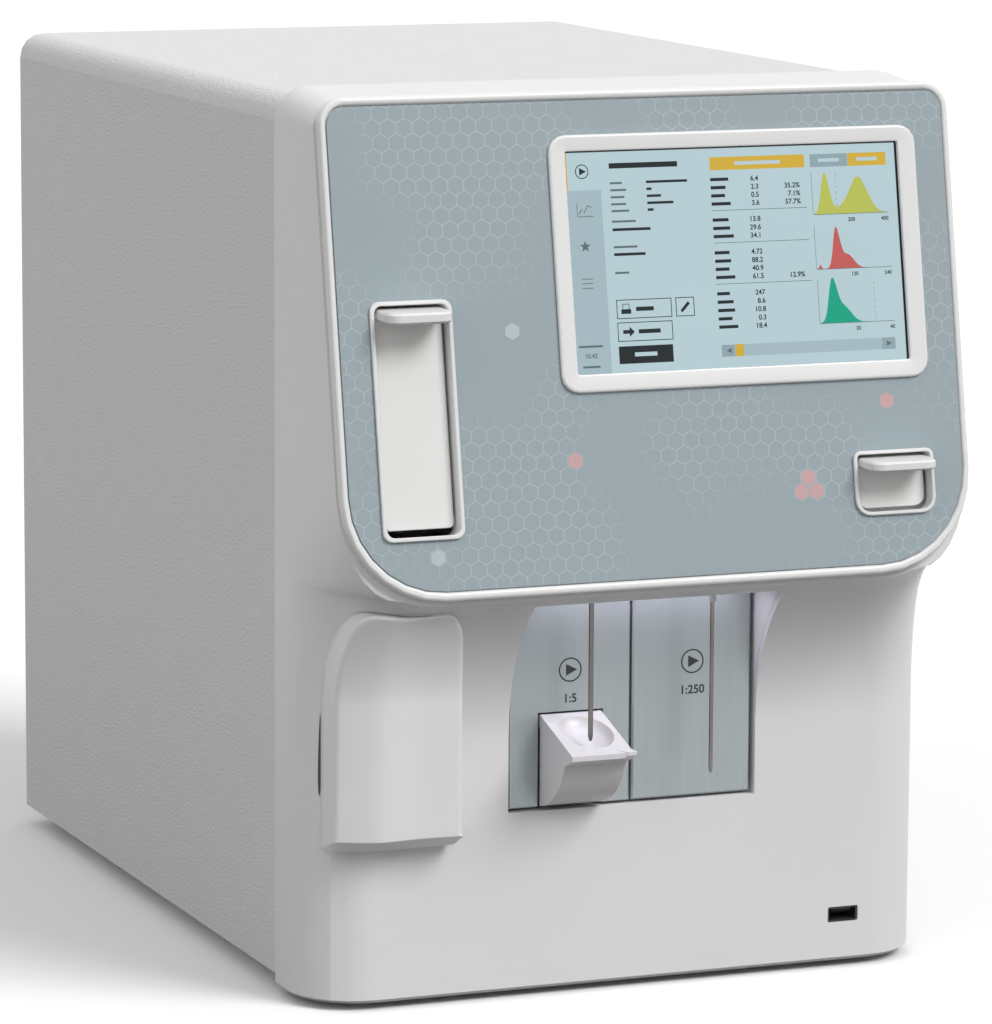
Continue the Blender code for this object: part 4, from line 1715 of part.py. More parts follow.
def build():
    front_shell()
    panel_rim()
    front_overlay()
    screen_bezel()
    touch_glass()
    lcd_module()
    door_ring()
    door_hinge_pin()
    drawer_ring()
    drawer_housing()
    bay_liner()
    bay_lamp()
    plate_carrier()
    cup_pin()
    needle_ferrule()
    lift_frame()
    mixer_well()
    mixer_motor()
    hood_pin()
    usb_socket()
    top_cover()
    base_plate()
    rear_panel()
    for side, x in (("left", -FOOT_X), ("right", FOOT_X)):
        foot("foot_front_" + side, x, FRONT_FOOT_Y, SHELL_BOTTOM - GAP)
        foot("foot_rear_" + side, x, REAR_FOOT_Y, FLOOR_Z - GAP)
    fan_frame()
    fan_guard()
    mains_inlet()
    reagent_ports()
    data_ports()
    power_supply()
    main_board()
    syringe_pump()
    valve_block()
    measuring_chamber()

    middle = (CUP_LEFT + CUP_RIGHT) / 2
    carried(empty_at("door_axis", on_panel(DOOR_X, DOOR_PIN_S, DOOR_PIN_H)),
            tube_door(), tube_holder())
    carried(empty_at("drawer_slide", on_panel(DRAWER_X, DRAWER_LOW, -DRAWER_RECESS)),
            drawer_front(), drawer_tray())
    carried(empty_at("hood_axis", (HOOD_LUG_X, HOOD_PIN_Y, HOOD_PIN_Z)), mixer_hood())
    carried(empty_at("rotor_axis", (HOOD_LUG_X, ROTOR_Y, ROTOR_Z)), mixer_rotor())
    carried(empty_at("cup_axis", (middle, CUP_PIN_Y, CUP_PIN_Z)), drip_cup())
    for name, (left, right) in PLATE_SPANS.items():
        place = ((left + right) / 2, PLATE_FRONT_Y, (PLATE_LOW + PLATE_HIGH) / 2)
        carried(empty_at(name + "_slide", place), start_plate(name))
    for side, x, radius, tip in (
            ("left", NEEDLE_LEFT_X, NEEDLE_LEFT_RADIUS, NEEDLE_LEFT_TIP),
            ("right", NEEDLE_RIGHT_X, NEEDLE_RIGHT_RADIUS, NEEDLE_RIGHT_TIP)):
        carried(empty_at("needle_slide_" + side, (x, NEEDLE_Y, tip)),
                needle("needle_" + side, x, radius, tip),
                needle_carriage("needle_carriage_" + side, x, radius))
    left, right, y = pump_places()
    for side, x in (("left", left), ("right", right)):
        carried(empty_at("plunger_slide_" + side, (x, y, STAND_Z + PUMP_HIGH)),
                syringe_plunger("syringe_plunger_" + side, x))
    carried(empty_at("fan_axis", (FAN_X, fan_span()[0], FAN_Z)), fan_rotor())
    carried(empty_at("switch_axis", switch_pivot() - Vector((0, SWITCH_PEAK, 0))), rocker_switch())


for old in list(bpy.data.objects):
    bpy.data.objects.remove(old)
build()
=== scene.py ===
import json
import math

import bmesh
import bpy
import numpy as np
from mathutils import Matrix, Vector

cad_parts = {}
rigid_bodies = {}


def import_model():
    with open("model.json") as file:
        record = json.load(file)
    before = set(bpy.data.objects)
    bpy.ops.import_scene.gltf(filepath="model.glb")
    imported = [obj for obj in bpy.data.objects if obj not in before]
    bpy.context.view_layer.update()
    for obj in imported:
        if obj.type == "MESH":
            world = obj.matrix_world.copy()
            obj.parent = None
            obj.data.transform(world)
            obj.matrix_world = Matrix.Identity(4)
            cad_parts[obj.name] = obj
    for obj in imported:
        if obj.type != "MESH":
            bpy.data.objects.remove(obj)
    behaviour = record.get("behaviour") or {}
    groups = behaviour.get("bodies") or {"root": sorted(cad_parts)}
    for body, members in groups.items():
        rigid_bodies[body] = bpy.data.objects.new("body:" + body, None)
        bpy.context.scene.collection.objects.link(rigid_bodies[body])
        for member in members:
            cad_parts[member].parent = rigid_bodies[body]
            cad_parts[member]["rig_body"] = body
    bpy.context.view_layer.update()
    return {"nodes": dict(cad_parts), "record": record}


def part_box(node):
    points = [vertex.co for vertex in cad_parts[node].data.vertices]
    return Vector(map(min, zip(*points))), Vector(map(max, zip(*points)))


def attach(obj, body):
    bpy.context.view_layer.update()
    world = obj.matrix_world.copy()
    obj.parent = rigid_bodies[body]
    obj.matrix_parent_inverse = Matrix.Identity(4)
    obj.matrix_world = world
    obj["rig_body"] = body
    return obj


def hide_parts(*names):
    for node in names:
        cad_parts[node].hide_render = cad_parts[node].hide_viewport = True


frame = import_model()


# Studio: a pale floor, a soft lamp from the front right that leaves the left flank
# at half the brightness of the front, a weak and very wide one from the left, and a
# sky that grows lighter from the horizon to its top. The camera stands to the left,
# where the photograph's vanishing lines put it.
FLOOR_HALF = 30.0
FLOOR_SEEN, FLOOR_LIT = 0.97, 0.14
SKY_LOW, SKY_HIGH = 0.27, 0.70
LAMP_STRENGTH = 2.14
LAMP_SOFTNESS = math.radians(28)
LAMP_TOWARD = (0.42, -0.60, 0.66)
SIDE_STRENGTH = 0.62
SIDE_SOFTNESS = math.radians(70)
SIDE_TOWARD = (-0.80, -0.47, 0.36)
CAMERA_AT = (-0.91602, -2.30863, 0.58279)
CAMERA_YAW, CAMERA_PITCH, CAMERA_ROLL = np.radians((21.9234, 9.1529, 0.2961))
CAMERA_LENS = 189.96
SENSOR = 36.0


def seen_or_lit(tree, seen, lit):
    """One value for what the camera, a reflection or clear glass shows, and another, a number
    or a socket, for the light that falls on things."""
    path = tree.nodes.new("ShaderNodeLightPath")
    first = tree.nodes.new("ShaderNodeMath")
    first.operation = "MAXIMUM"
    tree.links.new(path.outputs["Is Camera Ray"], first.inputs[0])
    tree.links.new(path.outputs["Is Glossy Ray"], first.inputs[1])
    either = tree.nodes.new("ShaderNodeMath")
    either.operation = "MAXIMUM"
    tree.links.new(first.outputs[0], either.inputs[0])
    tree.links.new(path.outputs["Is Transmission Ray"], either.inputs[1])
    mixed = tree.nodes.new("ShaderNodeMapRange")
    mixed.inputs["To Max"].default_value = seen
    if isinstance(lit, bpy.types.NodeSocket):
        tree.links.new(lit, mixed.inputs["To Min"])
    else:
        mixed.inputs["To Min"].default_value = lit
    tree.links.new(either.outputs[0], mixed.inputs["Value"])
    return mixed.outputs["Result"]


corners = [(x * FLOOR_HALF, y * FLOOR_HALF, 0.0) for x, y in ((-1, -1), (1, -1), (1, 1), (-1, 1))]
floor_mesh = bpy.data.meshes.new("studio_floor")
floor_mesh.from_pydata(corners, [], [(0, 1, 2, 3)])
floor = bpy.data.objects.new("studio_floor", floor_mesh)
bpy.context.scene.collection.objects.link(floor)
floor_paint = bpy.data.materials.new("floor_paint")
floor_paint.use_nodes = True
floor_tree = floor_paint.node_tree
floor_tree.links.new(seen_or_lit(floor_tree, FLOOR_SEEN, FLOOR_LIT),
                     floor_tree.nodes["Principled BSDF"].inputs["Base Color"])
floor_tree.nodes["Principled BSDF"].inputs["Roughness"].default_value = 0.9
floor_mesh.materials.append(floor_paint)

# The sky's light goes by the height of its direction: 0 at the horizon, 1 overhead.
world = bpy.data.worlds.new("studio_sky")
world.use_nodes = True
bpy.context.scene.world = world
sky_tree = world.node_tree
direction = sky_tree.nodes.new("ShaderNodeTexCoord")
sky_height = sky_tree.nodes.new("ShaderNodeSeparateXYZ")
sky_tree.links.new(direction.outputs["Generated"], sky_height.inputs[0])
sky_light = sky_tree.nodes.new("ShaderNodeMapRange")
sky_light.inputs["To Min"].default_value = SKY_LOW
sky_light.inputs["To Max"].default_value = SKY_HIGH
sky_tree.links.new(sky_height.outputs["Z"], sky_light.inputs["Value"])
sky_strength = seen_or_lit(sky_tree, 1.0, sky_light.outputs["Result"])
sky_tree.links.new(sky_strength, sky_tree.nodes["Background"].inputs["Strength"])
sky_tree.nodes["Background"].inputs["Color"].default_value = (1.0, 1.0, 1.0, 1.0)

for name, strength, softness, toward in (
        ("studio_lamp", LAMP_STRENGTH, LAMP_SOFTNESS, LAMP_TOWARD),
        ("side_lamp", SIDE_STRENGTH, SIDE_SOFTNESS, SIDE_TOWARD)):
    lamp_data = bpy.data.lights.new(name, "SUN")
    lamp_data.energy = strength
    lamp_data.angle = softness
    lamp = bpy.data.objects.new(name, lamp_data)
    lamp.rotation_mode = "QUATERNION"
    lamp.rotation_quaternion = Vector(toward).to_track_quat("Z", "Y")
    bpy.context.scene.collection.objects.link(lamp)

right = np.array([math.cos(CAMERA_YAW), -math.sin(CAMERA_YAW), 0.0])
ahead = np.array([
    math.sin(CAMERA_YAW) * math.cos(CAMERA_PITCH),
    math.cos(CAMERA_YAW) * math.cos(CAMERA_PITCH),
    -math.sin(CAMERA_PITCH),
])
above = np.cross(right, ahead)
rolled_right = math.cos(CAMERA_ROLL) * right + math.sin(CAMERA_ROLL) * above
rolled_above = math.cos(CAMERA_ROLL) * above - math.sin(CAMERA_ROLL) * right
camera_data = bpy.data.cameras.new("camera")
camera_data.lens = CAMERA_LENS
camera_data.sensor_width = SENSOR
camera_data.clip_end = FLOOR_HALF * 3
camera = bpy.data.objects.new("camera", camera_data)
turned = np.column_stack((rolled_right, rolled_above, -ahead))
camera.matrix_world = Matrix.LocRotScale(CAMERA_AT, Matrix(turned.tolist()), None)
bpy.context.scene.collection.objects.link(camera)
bpy.context.scene.camera = camera
bpy.context.scene.view_settings.view_transform = "Standard"


# Rubber feet: four turned pads screwed under the floor plate. The rubber is matt
# and a little uneven, as moulded. Every finish after this one is built the same
# way, from sockets that Python's operators join with Math nodes.
RUBBER = (0.022, 0.022, 0.023, 1.0)
RUBBER_LOW, RUBBER_HIGH = (0.018, 0.018, 0.019, 1.0), (0.030, 0.030, 0.031, 1.0)
EDGE_ANGLE = math.radians(32)
FLAT_ANGLE = math.radians(0.5)
WELD = 0.00001


class Wire:
    """A shader socket: operators on it add Math nodes, and node() adds any other node."""

    def __init__(self, tree, socket):
        self.tree, self.socket = tree, socket

    def node(self, kind, settings=(), inputs=(), output=0):
        """Adds a node: its settings first, then its sockets' values or links."""
        made = self.tree.nodes.new(kind)
        for key, value in dict(settings).items():
            setattr(made, key, value)
        for key, value in dict(inputs).items():
            if isinstance(value, Wire):
                self.tree.links.new(value.socket, made.inputs[key])
            else:
                made.inputs[key].default_value = value
        return Wire(self.tree, made.outputs[output])

    def calc(self, operation, *values):
        return self.node("ShaderNodeMath", {"operation": operation}, enumerate((self, *values)))

    def __add__(self, other):
        return self.calc("ADD", other)

    def __sub__(self, other):
        return self.calc("SUBTRACT", other)

    def __rsub__(self, other):
        return self.node("ShaderNodeMath", {"operation": "SUBTRACT"}, {0: other, 1: self})

    def __mul__(self, other):
        return self.calc("MULTIPLY", other)

    __radd__, __rmul__ = __add__, __mul__

    def above(self, edge, width):
        """Rises from 0 to 1 over a width that starts at an edge."""
        return self.node("ShaderNodeMapRange", {"interpolation_type": "SMOOTHSTEP"},
                         {"Value": self, "From Min": edge, "From Max": edge + width})

    def colour(self, low, high):
        """This number as the share of the way from one colour to another."""
        return self.node("ShaderNodeMix", {"data_type": "RGBA"}, {0: self, 6: low, 7: high}, 2)


class Finish:
    """A material: its shader, and where on the object a point lies, in metres."""

    def __init__(self, name, colour, roughness, **shader):
        self.material = bpy.data.materials.new(name)
        self.material.use_nodes = True
        self.tree = self.material.node_tree
        self.shader = self.tree.nodes["Principled BSDF"]
        self.roughness = roughness
        values = {"Base Color": colour, "Roughness": roughness}
        values |= {key.replace("_", " "): value for key, value in shader.items()}
        for key, value in values.items():
            self.shader.inputs[key].default_value = value
        spot = self.tree.nodes.new("ShaderNodeTexCoord")
        self.place = Wire(self.tree, spot.outputs["Object"])

    def axis(self, number):
        """Where a point lies along one axis: 0 is X, 1 is Y and 2 is Z."""
        return self.place.node("ShaderNodeSeparateXYZ", inputs={0: self.place}, output=number)

    def noise(self, size, detail=2.0, stretch=(1.0, 1.0, 1.0)):
        """Soft random patches of about that size, from 0 to 1, drawn out along an axis."""
        spot = self.place.node("ShaderNodeMapping", inputs={"Vector": self.place, "Scale": stretch})
        return spot.node("ShaderNodeTexNoise",
                         inputs={"Vector": spot, "Scale": 1 / size, "Detail": detail})

    def feed(self, socket, wire):
        self.tree.links.new(wire.socket, self.shader.inputs[socket])

    def relief(self, height, depth, strength=1.0):
        """Raises the surface by a height map of that depth, in metres."""
        self.feed("Normal", height.node("ShaderNodeBump",
                                        inputs={"Height": height, "Distance": depth,
                                                "Strength": strength}))

    def grain(self, size, depth, detail=2.0, strength=1.0, stretch=(1.0, 1.0, 1.0)):
        """Raises the surface by soft random patches."""
        self.relief(self.noise(size, detail, stretch), depth, strength)

    def vary(self, low, high, size, rough_by, stretch=(1.0, 1.0, 1.0)):
        """Shifts the colour and the roughness softly over the surface."""
        patch = self.noise(size, stretch=stretch)
        self.feed("Base Color", patch.colour(low, high))
        self.feed("Roughness", self.roughness + (patch - 0.5) * rough_by)


def paint(finish, *names):
    """Gives flat-sided CAD nodes a finish; their meshes are left alone."""
    for name in names:
        node = frame["nodes"][name]
        node.data.materials.clear()
        node.data.materials.append(finish.material)


def shown(name, mesh, finish, body, slot, *nodes):
    """Puts a finished mesh on its body, in place of the CAD nodes that it stands for."""
    mesh.materials.clear()
    mesh.materials.append(finish.material)
    piece = bpy.data.objects.new(name, mesh)
    bpy.context.scene.collection.objects.link(piece)
    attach(piece, body)
    if nodes:
        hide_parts(*nodes)
    return piece


def soft_edged(mesh):
    """Shades a mesh round, apart from its real edges."""
    mesh.shade_smooth()
    mesh.set_sharp_from_angle(angle=EDGE_ANGLE)
    return mesh


def smooth_over(piece):
    """Lets the large faces of a piece set how its edges shade."""
    weighted = piece.modifiers.new("weighted", "WEIGHTED_NORMAL")
    weighted.keep_sharp = True


def moulded(finish, *names):
    """A merged copy of each CAD node in its place: flat areas lie flat, curves shade round."""
    slots = {part["node"]: part["material_slot"] for part in frame["record"]["subparts"]}
    for name in names:
        node = frame["nodes"][name]
        work = bmesh.new()
        work.from_mesh(node.data)
        bmesh.ops.remove_doubles(work, verts=work.verts, dist=WELD)
        bmesh.ops.dissolve_limit(work, angle_limit=FLAT_ANGLE, verts=work.verts, edges=work.edges)
        mesh = bpy.data.meshes.new(name + "_skin")
        work.to_mesh(mesh)
        work.free()
        piece = shown(name + "_skin", soft_edged(mesh), finish, node["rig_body"], slots[name], name)
        smooth_over(piece)


rubber = Finish("moulded_rubber", RUBBER, roughness=0.8)
rubber.vary(RUBBER_LOW, RUBBER_HIGH, size=0.003, rough_by=0.2)
rubber.grain(size=0.0006, depth=0.00005)
moulded(rubber, "foot_front_left", "foot_front_right", "foot_rear_left", "foot_rear_right")


# Floor plate and power supply: folded from zinc-coated sheet steel. The coating
# keeps the faint streaks of the rolling mill, drawn out along the sheet.
ZINC_LOW, ZINC_HIGH = (0.50, 0.51, 0.52, 1.0), (0.64, 0.645, 0.65, 1.0)

zinc = Finish("zinc_coated_sheet", ZINC_HIGH, roughness=0.38, Metallic=1.0)
zinc.vary(ZINC_LOW, ZINC_HIGH, size=0.012, rough_by=0.14, stretch=(1.0, 0.15, 1.0))
zinc.grain(size=0.0008, depth=0.00001, stretch=(1.0, 0.1, 1.0))
paint(zinc, "base_plate", "power_supply")


# Main board: green laminate on four posts, with two black chips on top. Only the
# height tells the chips from the laminate, and straight tracks run along Y.
SOLDER_MASK, TRACK = (0.012, 0.13, 0.055, 1.0), (0.02, 0.20, 0.085, 1.0)
CHIP_BLACK = (0.015, 0.015, 0.016, 1.0)
TRACK_PITCH, TRACK_HIGH = 0.0025, 0.00003
TRACK_FROM, TRACK_OVER = 0.3, 0.2
CHIP_HIGH, CHIP_EDGE = 0.0039, 0.0001

_, board_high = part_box("main_board")
board = Finish("green_laminate", SOLDER_MASK, roughness=0.35)
tracks = (board.axis(0) * (math.tau / TRACK_PITCH)).calc("SINE").above(TRACK_FROM, TRACK_OVER)
chips = board.axis(2).above(board_high.z - CHIP_HIGH, CHIP_EDGE)
board.feed("Base Color", chips.colour(tracks.colour(SOLDER_MASK, TRACK), CHIP_BLACK))
board.relief(tracks, TRACK_HIGH)
paint(board, "main_board")


# Pump block, its two plungers, the valve block and the measuring chamber: machined
# acetal, ground steel and clear cast acrylic, screwed to the floor plate.
ACETAL = (0.78, 0.775, 0.76, 1.0)
ACETAL_LOW, ACETAL_HIGH = (0.75, 0.745, 0.73, 1.0), (0.80, 0.795, 0.78, 1.0)
ACRYLIC_LOW, ACRYLIC_HIGH = (0.76, 0.81, 0.84, 1.0), (0.80, 0.84, 0.86, 1.0)
ACRYLIC_CLEAR, ACRYLIC_INDEX = 0.7, 1.49
STEEL_LOW, STEEL_HIGH = (0.52, 0.50, 0.48, 1.0), (0.68, 0.67, 0.66, 1.0)

acetal = Finish("machined_acetal", ACETAL, roughness=0.45)
acetal.vary(ACETAL_LOW, ACETAL_HIGH, size=0.01, rough_by=0.1)
acetal.grain(size=0.0004, depth=0.000006, stretch=(1.0, 1.0, 0.1))
paint(acetal, "syringe_pump")
acrylic = Finish("cast_acrylic", ACRYLIC_HIGH, roughness=0.12, Transmission_Weight=ACRYLIC_CLEAR,
                 IOR=ACRYLIC_INDEX)
acrylic.vary(ACRYLIC_LOW, ACRYLIC_HIGH, size=0.02, rough_by=0.08)
moulded(acrylic, "valve_block", "measuring_chamber")
steel = Finish("ground_steel", STEEL_HIGH, roughness=0.24, Metallic=1.0)
steel.vary(STEEL_LOW, STEEL_HIGH, size=0.004, rough_by=0.12, stretch=(1.0, 1.0, 0.2))
steel.grain(size=0.0003, depth=0.000004, stretch=(1.0, 1.0, 0.08))
moulded(steel, "syringe_plunger_left", "syringe_plunger_right")


# Front shell: one large moulding of off-white plastic, with a fine spark-eroded
# texture from its mould, screwed to the floor plate and hooked to the cover.
WHITE_LOW, WHITE_HIGH = (0.735, 0.728, 0.732, 1.0), (0.770, 0.763, 0.766, 1.0)

shell_white = Finish("moulded_white", WHITE_HIGH, roughness=0.42)
shell_white.vary(WHITE_LOW, WHITE_HIGH, size=0.06, rough_by=0.08)
shell_white.grain(size=0.0005, depth=0.00001, detail=3.0, strength=0.6)
moulded(shell_white, "front_shell")


# USB socket: a pressed, plated steel shell with a black contact tongue inside,
# clipped in its slot low on the right.
SOCKET_LOW, SOCKET_HIGH = (0.012, 0.012, 0.014, 1.0), (0.03, 0.03, 0.034, 1.0)

socket = Finish("socket_shell", SOCKET_LOW, roughness=0.45)
socket.vary(SOCKET_LOW, SOCKET_HIGH, size=0.002, rough_by=0.2)
moulded(socket, "usb_socket")


# Mixer: the hood is a softly crowned moulding of the shell's plastic, hinged at its foot on a steel pin,
# and its white is painted a little lighter than the shell's, as painted light against the shade of its
# lean. It leans forward near its top and follows the flared neck, and beside its left edge a thin dark
# sheet on the shell is the painted shadow of a finger recess. Behind it, a moulded well holds the rotor
# that turns tubes over.
# HOOD_LOW and HOOD_HIGH are the shell's white painted lighter: painted light that makes up for the shade on
# the hood's forward lean.
HOOD_LOW, HOOD_HIGH = (0.755, 0.745, 0.740, 1.0), (0.790, 0.782, 0.778, 1.0)
BLACK_LOW, BLACK_HIGH = (0.014, 0.014, 0.015, 1.0), (0.026, 0.026, 0.028, 1.0)
SHELL_HALF, SHELL_FRONT_Y, SHELL_SIDE_Y = 0.1475, -0.1896, -0.159
FLARE_LOW_Z, FLARE_HIGH_Z, FLARE_ROUND = 0.116, 0.185, 0.080
CORNER_LOW, CORNER_HIGH = 0.030, 0.046
HOOD_LEFT_X, HOOD_RIGHT_X = -0.1398, -0.0834
HOOD_FOOT_Z, HOOD_LIP_Z, HOOD_CROWN_Z = 0.0720, 0.0773, 0.1782
HOOD_FOOT_Y, HOOD_SLOPE = -0.2044, 0.0030
HOOD_OVER_NECK, HOOD_BLEND = 0.0014, 0.002
HOOD_LEAN, HOOD_LEAN_Z, HOOD_LEAN_POWER = 0.0122, 0.138, 1.7
LEFT_IN, LEFT_IN_X, LEFT_IN_WIDE, LEFT_IN_POWER = 0.0075, -0.120, 0.020, 1.6
SWELL_HIGH, SWELL_X, HOLLOW_DEEP, HOLLOW_X = 0.0008, -0.120, 0.0006, -0.102
SWELL_WIDE = 0.009
SHOULDER_START_Z, SHOULDER_END_Z = 0.1304, 0.1735
SHOULDER_WIDE, SHOULDER_POWER = 0.0110, 2.5
CROWN_DIP, CROWN_DIP_X = 0.0016, (-0.1290, -0.1120)
CROWN_LIFT, CROWN_LIFT_X = 0.0005, (-0.1080, -0.0950)
RIGHT_SHARE, RIGHT_MOST, RIGHT_PROBE = 0.36, -0.0130, 0.004
RIGHT_CORNER_WIDE, RIGHT_CORNER_HIGH, RIGHT_CORNER_Z = 0.0080, 0.0130, 0.1771
FACE_IN_LEFT, FACE_IN_RIGHT, FACE_IN_FOOT, FACE_IN_TOP = 0.0018, 0.0026, 0.0006, 0.0019
HOOD_WALL = 0.0012
HOOD_GAP = 0.0003
FOOT_GAP, FOOT_GAP_Z = 0.0006, (0.076, 0.080)
FINGER_GAP, FINGER_LOW_Z, FINGER_HIGH_Z = 0.0010, (0.094, 0.098), (0.127, 0.131)
BEVEL_Y, BEVEL_X, BEVEL_END = -0.1964, -0.112, 0.003
BEVEL_LEFT_IN, BEVEL_LEFT_WIDE = 0.0032, 0.022
BEVEL_RIGHT_IN, BEVEL_RIGHT_WIDE = 0.0015, 0.029
FOOT_BACK_Y, FOOT_BACK_X = -0.1942, -0.127
FOOT_BACK_IN, FOOT_BACK_WIDE = 0.0200, 0.0128
HOOD_PIN_Y, HOOD_PIN_Z = -0.1918, 0.0736
KNUCKLES_X, KNUCKLE_WIDE = (-0.1235, -0.0995), 0.005
KNUCKLE_BORE, KNUCKLE_ROUND, KNUCKLE_ROOT_Y = 0.0011, 0.0017, -0.1965
ROOT_PAST_BORE, ROOT_DOWN, ROOT_UP = 1.3, 0.6, 0.9
HOOD_ROWS, HOOD_COLUMNS, FILLET_STEPS, KNUCKLE_STEPS = 60, 48, 6, 24
RECESS_LOW_Z, RECESS_HIGH_Z, RECESS_STEPS = 0.094, 0.131, 32
RECESS_WIDE, RECESS_POWER = 0.00135, 0.35
RECESS_UNDER, RECESS_PROUD = 0.0002, 0.00012


def eased(value, start, end):
    """Rises smoothly from 0 to 1 between two places."""
    share = np.clip((value - start) / (end - start), 0, 1)
    return share * share * (3 - 2 * share)


def hump(value, middle, wide):
    """A bell: the exponential of minus the square of the distance from its middle over its width."""
    return np.exp(-((value - middle) / wide) ** 2)


def shell_skin(x, z):
    """The shell's y: upright, then forward on a circle's arc, rounded off at the sides as an ellipse."""
    rise = np.clip(z - FLARE_LOW_Z, 0, FLARE_HIGH_Z - FLARE_LOW_Z)
    front = SHELL_FRONT_Y - FLARE_ROUND + np.sqrt(FLARE_ROUND ** 2 - rise ** 2)
    corner = CORNER_LOW + (CORNER_HIGH - CORNER_LOW) * eased(z, FLARE_LOW_Z, FLARE_HIGH_Z)
    past = np.clip((np.abs(x) - SHELL_HALF + corner) / corner, 0, 1)
    return SHELL_SIDE_Y + (front - SHELL_SIDE_Y) * np.sqrt(1 - past ** 2)


def hood_face(x, z):
    """The hood's y: a nearly flat plane that falls back at the left as a power of the way there
    and leans forward at the top as a power of the height, with a soft swell and a hollow, mixed
    softly with the shell's own skin, so that the one that lies further forward counts."""
    left = np.clip((LEFT_IN_X - x) / LEFT_IN_WIDE, 0, 1)
    rise = (z - HOOD_LIP_Z) / (HOOD_CROWN_Z - HOOD_LIP_Z)
    lean = np.clip((z - HOOD_LEAN_Z) / (HOOD_CROWN_Z - HOOD_LEAN_Z), 0, 1)
    flat = HOOD_FOOT_Y + LEFT_IN * left ** LEFT_IN_POWER - HOOD_SLOPE * rise
    flat -= HOOD_LEAN * lean ** HOOD_LEAN_POWER
    flat += HOLLOW_DEEP * hump(x, HOLLOW_X, SWELL_WIDE) - SWELL_HIGH * hump(x, SWELL_X, SWELL_WIDE)
    over = shell_skin(x, z) - HOOD_OVER_NECK
    return (flat + over - np.hypot(flat - over, HOOD_BLEND)) / 2


def shoulder_x(z):
    """The left edge: upright, then in along a superellipse."""
    rise = np.clip((z - SHOULDER_START_Z) / (HOOD_CROWN_Z - SHOULDER_START_Z), 0, 1)
    inward = 1 - (1 - rise ** SHOULDER_POWER) ** (1 / SHOULDER_POWER)
    return HOOD_LEFT_X + SHOULDER_WIDE * inward


def right_x(z):
    """The right edge: it comes in by a share of what the face beside it comes forward, up to a
    most, and ends in a quarter of an ellipse."""
    near = np.full_like(z, HOOD_RIGHT_X - RIGHT_PROBE)
    forward = hood_face(near, z) - hood_face(near, np.full_like(z, HOOD_LIP_Z))
    past = np.clip((z - RIGHT_CORNER_Z) / RIGHT_CORNER_HIGH + 1, 0, 1)
    edge = HOOD_RIGHT_X + RIGHT_SHARE * np.maximum(forward, RIGHT_MOST)
    return edge - RIGHT_CORNER_WIDE * (1 - np.sqrt(1 - past ** 2))


def crown_z(x):
    """The top edge: out of the superellipse, down by a dip, and up again by a third of it."""
    inward = np.clip(1 - (x - HOOD_LEFT_X) / SHOULDER_WIDE, 0, 1)
    rise = (1 - inward ** SHOULDER_POWER) ** (1 / SHOULDER_POWER)
    dip = CROWN_DIP * eased(x, *CROWN_DIP_X) - CROWN_LIFT * eased(x, *CROWN_LIFT_X)
    return SHOULDER_START_Z + (HOOD_CROWN_Z - SHOULDER_START_Z) * rise - dip


def squares(sheet, start):
    """The faces of a sheet of points in rows and columns, whose numbers begin at a start."""
    rows, columns = sheet.shape[:2]
    number = start + np.arange(rows * columns).reshape(rows, columns)
    square = (number[:-1, :-1], number[:-1, 1:], number[1:, 1:], number[1:, :-1])
    return np.stack(square, -1).reshape(-1, 4)


def skin(name, *sheets):
    """One mesh from sheets of points in rows and columns: doubles merge, faces turn outwards."""
    points, faces, start = [], [], 0
    for sheet in sheets:
        faces.append(squares(sheet, start))
        points.append(sheet.reshape(-1, 3))
        start += len(points[-1])
    mesh = bpy.data.meshes.new(name)
    mesh.from_pydata(np.concatenate(points).tolist(), [], np.concatenate(faces).tolist())
    work = bmesh.new()
    work.from_mesh(mesh)
    bmesh.ops.remove_doubles(work, verts=work.verts, dist=WELD)
    bmesh.ops.recalc_face_normals(work, faces=work.faces)
    work.to_mesh(mesh)
    work.free()
    return mesh


# The four sides of the hood's edge; the right and the top one share the round corner.
steps = np.linspace(0, 1, HOOD_ROWS + 1)
paces = (1 - np.cos(np.linspace(0, math.pi, HOOD_COLUMNS + 1))) / 2
corner_cut = RIGHT_CORNER_HIGH * (1 - math.sqrt(0.5))
left_z = HOOD_LIP_Z + (SHOULDER_END_Z - HOOD_LIP_Z) * steps
left_side = np.stack((shoulder_x(left_z), left_z), -1)
right_z = HOOD_LIP_Z + (RIGHT_CORNER_Z - corner_cut - HOOD_LIP_Z) * steps
right_side = np.stack((right_x(right_z), right_z), -1)
top_x = left_side[-1, 0] + (right_side[-1, 0] - left_side[-1, 0]) * paces
corner_x = right_side[-1, 0] - RIGHT_CORNER_WIDE * math.sqrt(0.5)
past = np.clip((top_x - corner_x) / RIGHT_CORNER_WIDE, 0, 1)
rounding = RIGHT_CORNER_HIGH * (1 - np.sqrt(1 - past ** 2))
top_side = np.stack((top_x, crown_z(top_x) - rounding), -1)
top_side[0], top_side[-1] = left_side[-1], right_side[-1]
foot_x = HOOD_LEFT_X + (HOOD_RIGHT_X - HOOD_LEFT_X) * paces
foot_side = np.stack((foot_x, np.full_like(foot_x, HOOD_LIP_Z)), -1)

# The edge as one loop: foot, right side, top and left side, each corner once. Its
# places run from 0 to 4, one for each side, and a fillet leads from it into the face.
edge = np.concatenate((foot_side[:-1], right_side[:-1], top_side[:0:-1], left_side[:0:-1]))
places = np.concatenate([
    start + np.arange(size) / size
    for start, size in enumerate((HOOD_COLUMNS, HOOD_ROWS, HOOD_COLUMNS, HOOD_ROWS))])
span_x = (edge[:, 0] - HOOD_LEFT_X) / (HOOD_RIGHT_X - HOOD_LEFT_X)
span_z = (edge[:, 1] - HOOD_LIP_Z) / (HOOD_CROWN_Z - HOOD_LIP_Z)
draw_in = np.stack((FACE_IN_LEFT - (FACE_IN_LEFT + FACE_IN_RIGHT) * span_x,
                    FACE_IN_FOOT - (FACE_IN_FOOT + FACE_IN_TOP) * span_z), -1)
on_side = (places > 1) & (places < 2) | (places > 3)
